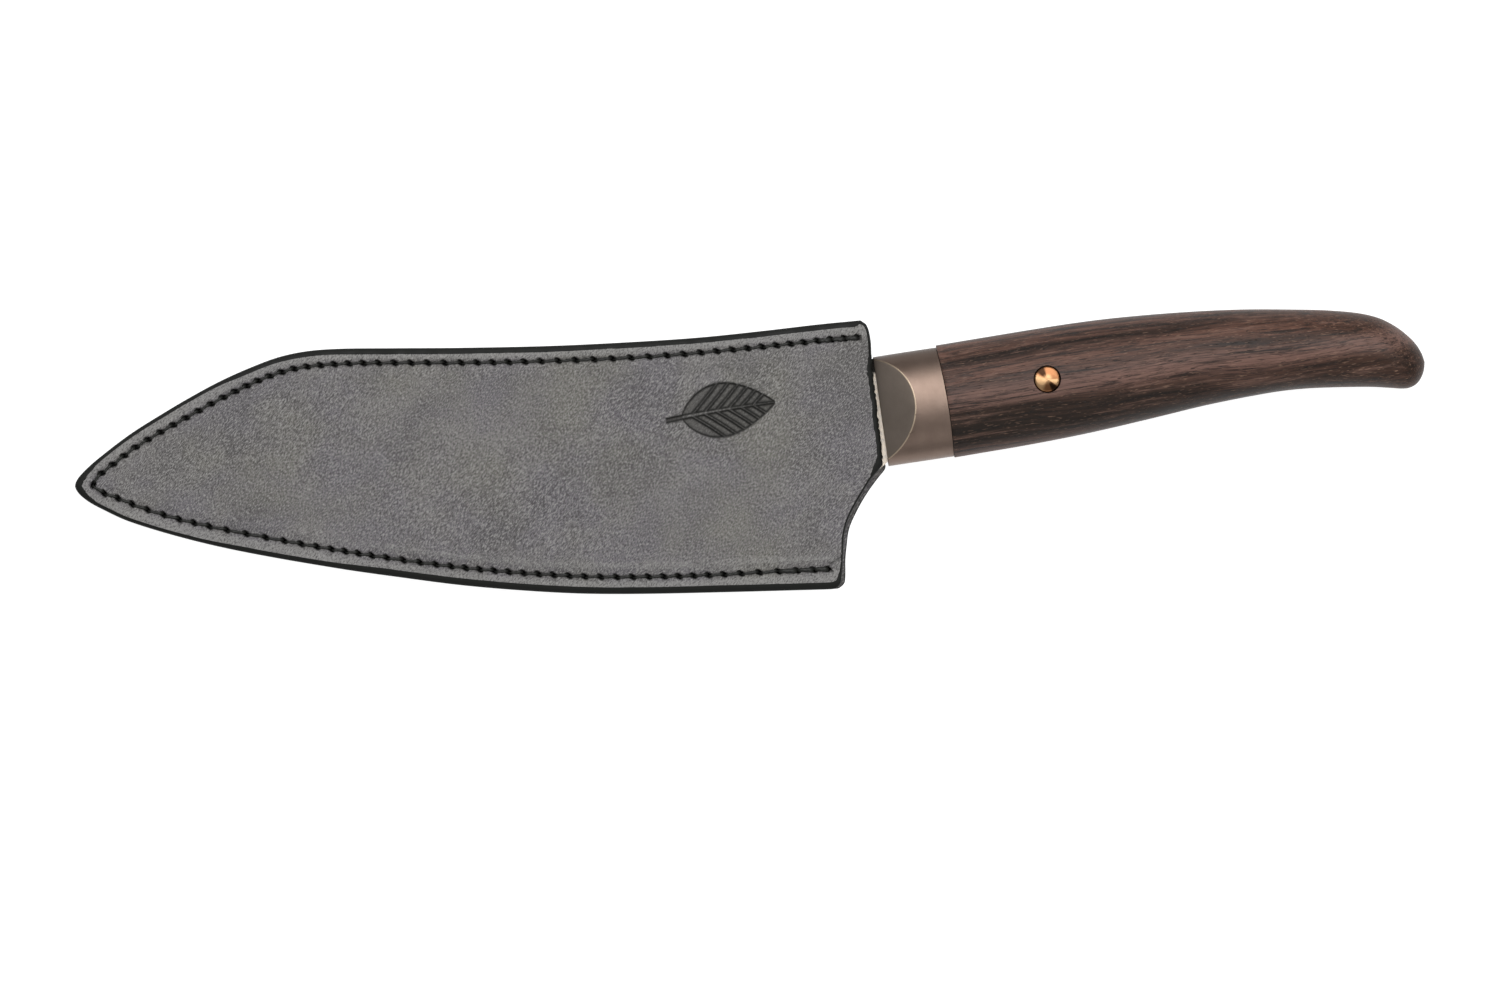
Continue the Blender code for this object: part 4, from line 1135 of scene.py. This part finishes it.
def cross_pin(look):
    """Copper pin with a low turned dome on each side, with painted dark and bright reflection sectors, a
    painted shade round its rim and a painted highlight in its middle.
    """
    sides = 72
    profile = pin_profile()
    turn = np.linspace(0, 2 * math.pi, sides, endpoint=False)
    # painted reflection: two dark sectors, one broad and one thin bright sector, as the turned dome would
    # mirror the room
    painted_dark = ease(np.cos(turn - math.radians(118)), 0.88, 0.97)
    painted_dark = np.maximum(painted_dark, ease(np.cos(turn - math.radians(300)), 0.93, 0.985))
    painted_bright = ease(np.cos(turn - math.radians(196)), 0.55, 0.9)
    painted_bright = np.maximum(painted_bright, ease(np.cos(turn - math.radians(336)), 0.93, 0.99))
    verts = []
    faces = []
    values = {"painted_dark": [], "painted_bright": []}
    for side in (1, -1):
        first = len(verts)
        verts.append((PIN_AT[0], PIN_AT[1], profile[0][1] * side))
        values["painted_dark"].append(0.0)
        values["painted_bright"].append(0.6)
        for radius, z in profile[1:]:
            verts += [(x, y, z * side) for x, y in ring_of(PIN_AT, radius, sides)]
            # a painted shade round the rim, and a painted highlight in the middle
            values["painted_dark"] += list(np.maximum(painted_dark * ease(radius, 0.3, 1.6), ease(radius, 3.0, 3.2)))
            values["painted_bright"] += list(np.maximum(painted_bright, 0.75 * ease(-radius, -1.6, -0.4)))
        end = [(first, first + 1 + k, first + 1 + (k + 1) % sides) for k in range(sides)]
        end += tube(len(profile) - 1, sides, first + 1, flip=True)
        faces += end if side > 0 else [face[::-1] for face in end]
    top_last = 1 + (len(profile) - 2) * sides
    low_last = top_last + 1 + (len(profile) - 1) * sides
    for k in range(sides):
        j = (k + 1) % sides
        faces.append((top_last + k, low_last + k, low_last + j, top_last + j))
    return piece(
        "copper_pin", verts, faces, look, "knife", ["handle_pin"], ALONG_HANDLE, values, 50
    )


# ---------------------------------------------------------------- studio


def lamp(name, place, size, power):
    """A rectangular soft light aimed at the middle of the object; place and size are in metres."""
    light = bpy.data.lights.new(name, "AREA")
    light.shape = "RECTANGLE"
    light.size, light.size_y = size
    light.energy = power
    thing = put_in_scene(name, light)
    thing.location = place
    thing.rotation_euler = (-Vector(place)).to_track_quat("-Z", "Y").to_euler()


def table():
    """The plain white table, bright enough by itself to stay white."""
    k = Look("white_table")
    k.set(Base_Color=(0.32, 0.32, 0.32), Roughness=0.7, Specular_IOR_Level=0.1)
    k.set(Emission_Color=(1.0, 1.0, 1.0), Emission_Strength=0.93)
    h = TABLE_HALF
    mesh = bpy.data.meshes.new("table")
    mesh.from_pydata([(-h, -h, 0), (h, -h, 0), (h, h, 0), (-h, h, 0)], [], [(0, 1, 2, 3)])
    mesh.materials.append(k.material)
    thing = put_in_scene("table", mesh)
    thing.location = (0, 0, -TABLE_GAP)


def camera():
    """Square to the drawing plane; the view is VIEW_WIDE across at the height of the leather's edge."""
    eye = bpy.data.cameras.new("camera")
    eye.sensor_width = 36.0
    eye.lens = eye.sensor_width * VIEW_FROM / VIEW_WIDE
    thing = put_in_scene("camera", eye)
    place = Vector((VIEW_AT[0], VIEW_AT[1], VIEW_AT[2] + VIEW_FROM))
    thing.matrix_world = LAY_DOWN @ Matrix.Translation(place * MM) @ Matrix.Rotation(VIEW_TURN, 4, "Z")
    bpy.context.scene.camera = thing


def studio():
    """White table, one large soft key from the blade-back side, a weak fill, and the camera above."""
    table()
    lamp("key", (0.05, 0.42, 1.0), (1.5, 0.8), 14.0)
    lamp("fill", (0.2, -0.9, 0.75), (1.2, 0.4), 1.1)
    world = bpy.data.worlds.new("studio")
    world.use_nodes = True
    world.node_tree.nodes["Background"].inputs["Color"].default_value = (1, 1, 1, 1)
    world.node_tree.nodes["Background"].inputs["Strength"].default_value = 0.33
    scene = bpy.context.scene
    scene.world = world
    scene.view_settings.view_transform = "Standard"
    scene.view_settings.look = "None"
    camera()


leather = leather_look()
panel("front_leather", MOUTH_FRONT, 1, leather, "sheath_front_panel", True)
panel("back_leather", MOUTH_BACK, -1, leather, "sheath_back_panel", False)
welt("back_side_welt", "spine_welt", leather, True)
welt("edge_side_welt", "edge_welt", leather, False)
stitching(thread_look())
blade(steel_look())
collar(
    bronze_look("satin_bronze", (0.19, 0.137, 0.11), (0.23, 0.168, 0.136), 0.38),
    bronze_look("rim_highlight_bronze", (0.44, 0.35, 0.26), (0.54, 0.43, 0.32), 0.42),
    bronze_look("facet_bronze", (0.2, 0.165, 0.138), (0.225, 0.187, 0.158), 0.42, 0.0),
)
handle(wood_look())
cross_pin(copper_look())

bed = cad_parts["tang_epoxy"].data.materials
bed.clear()
bed.append(resin_look())

studio()
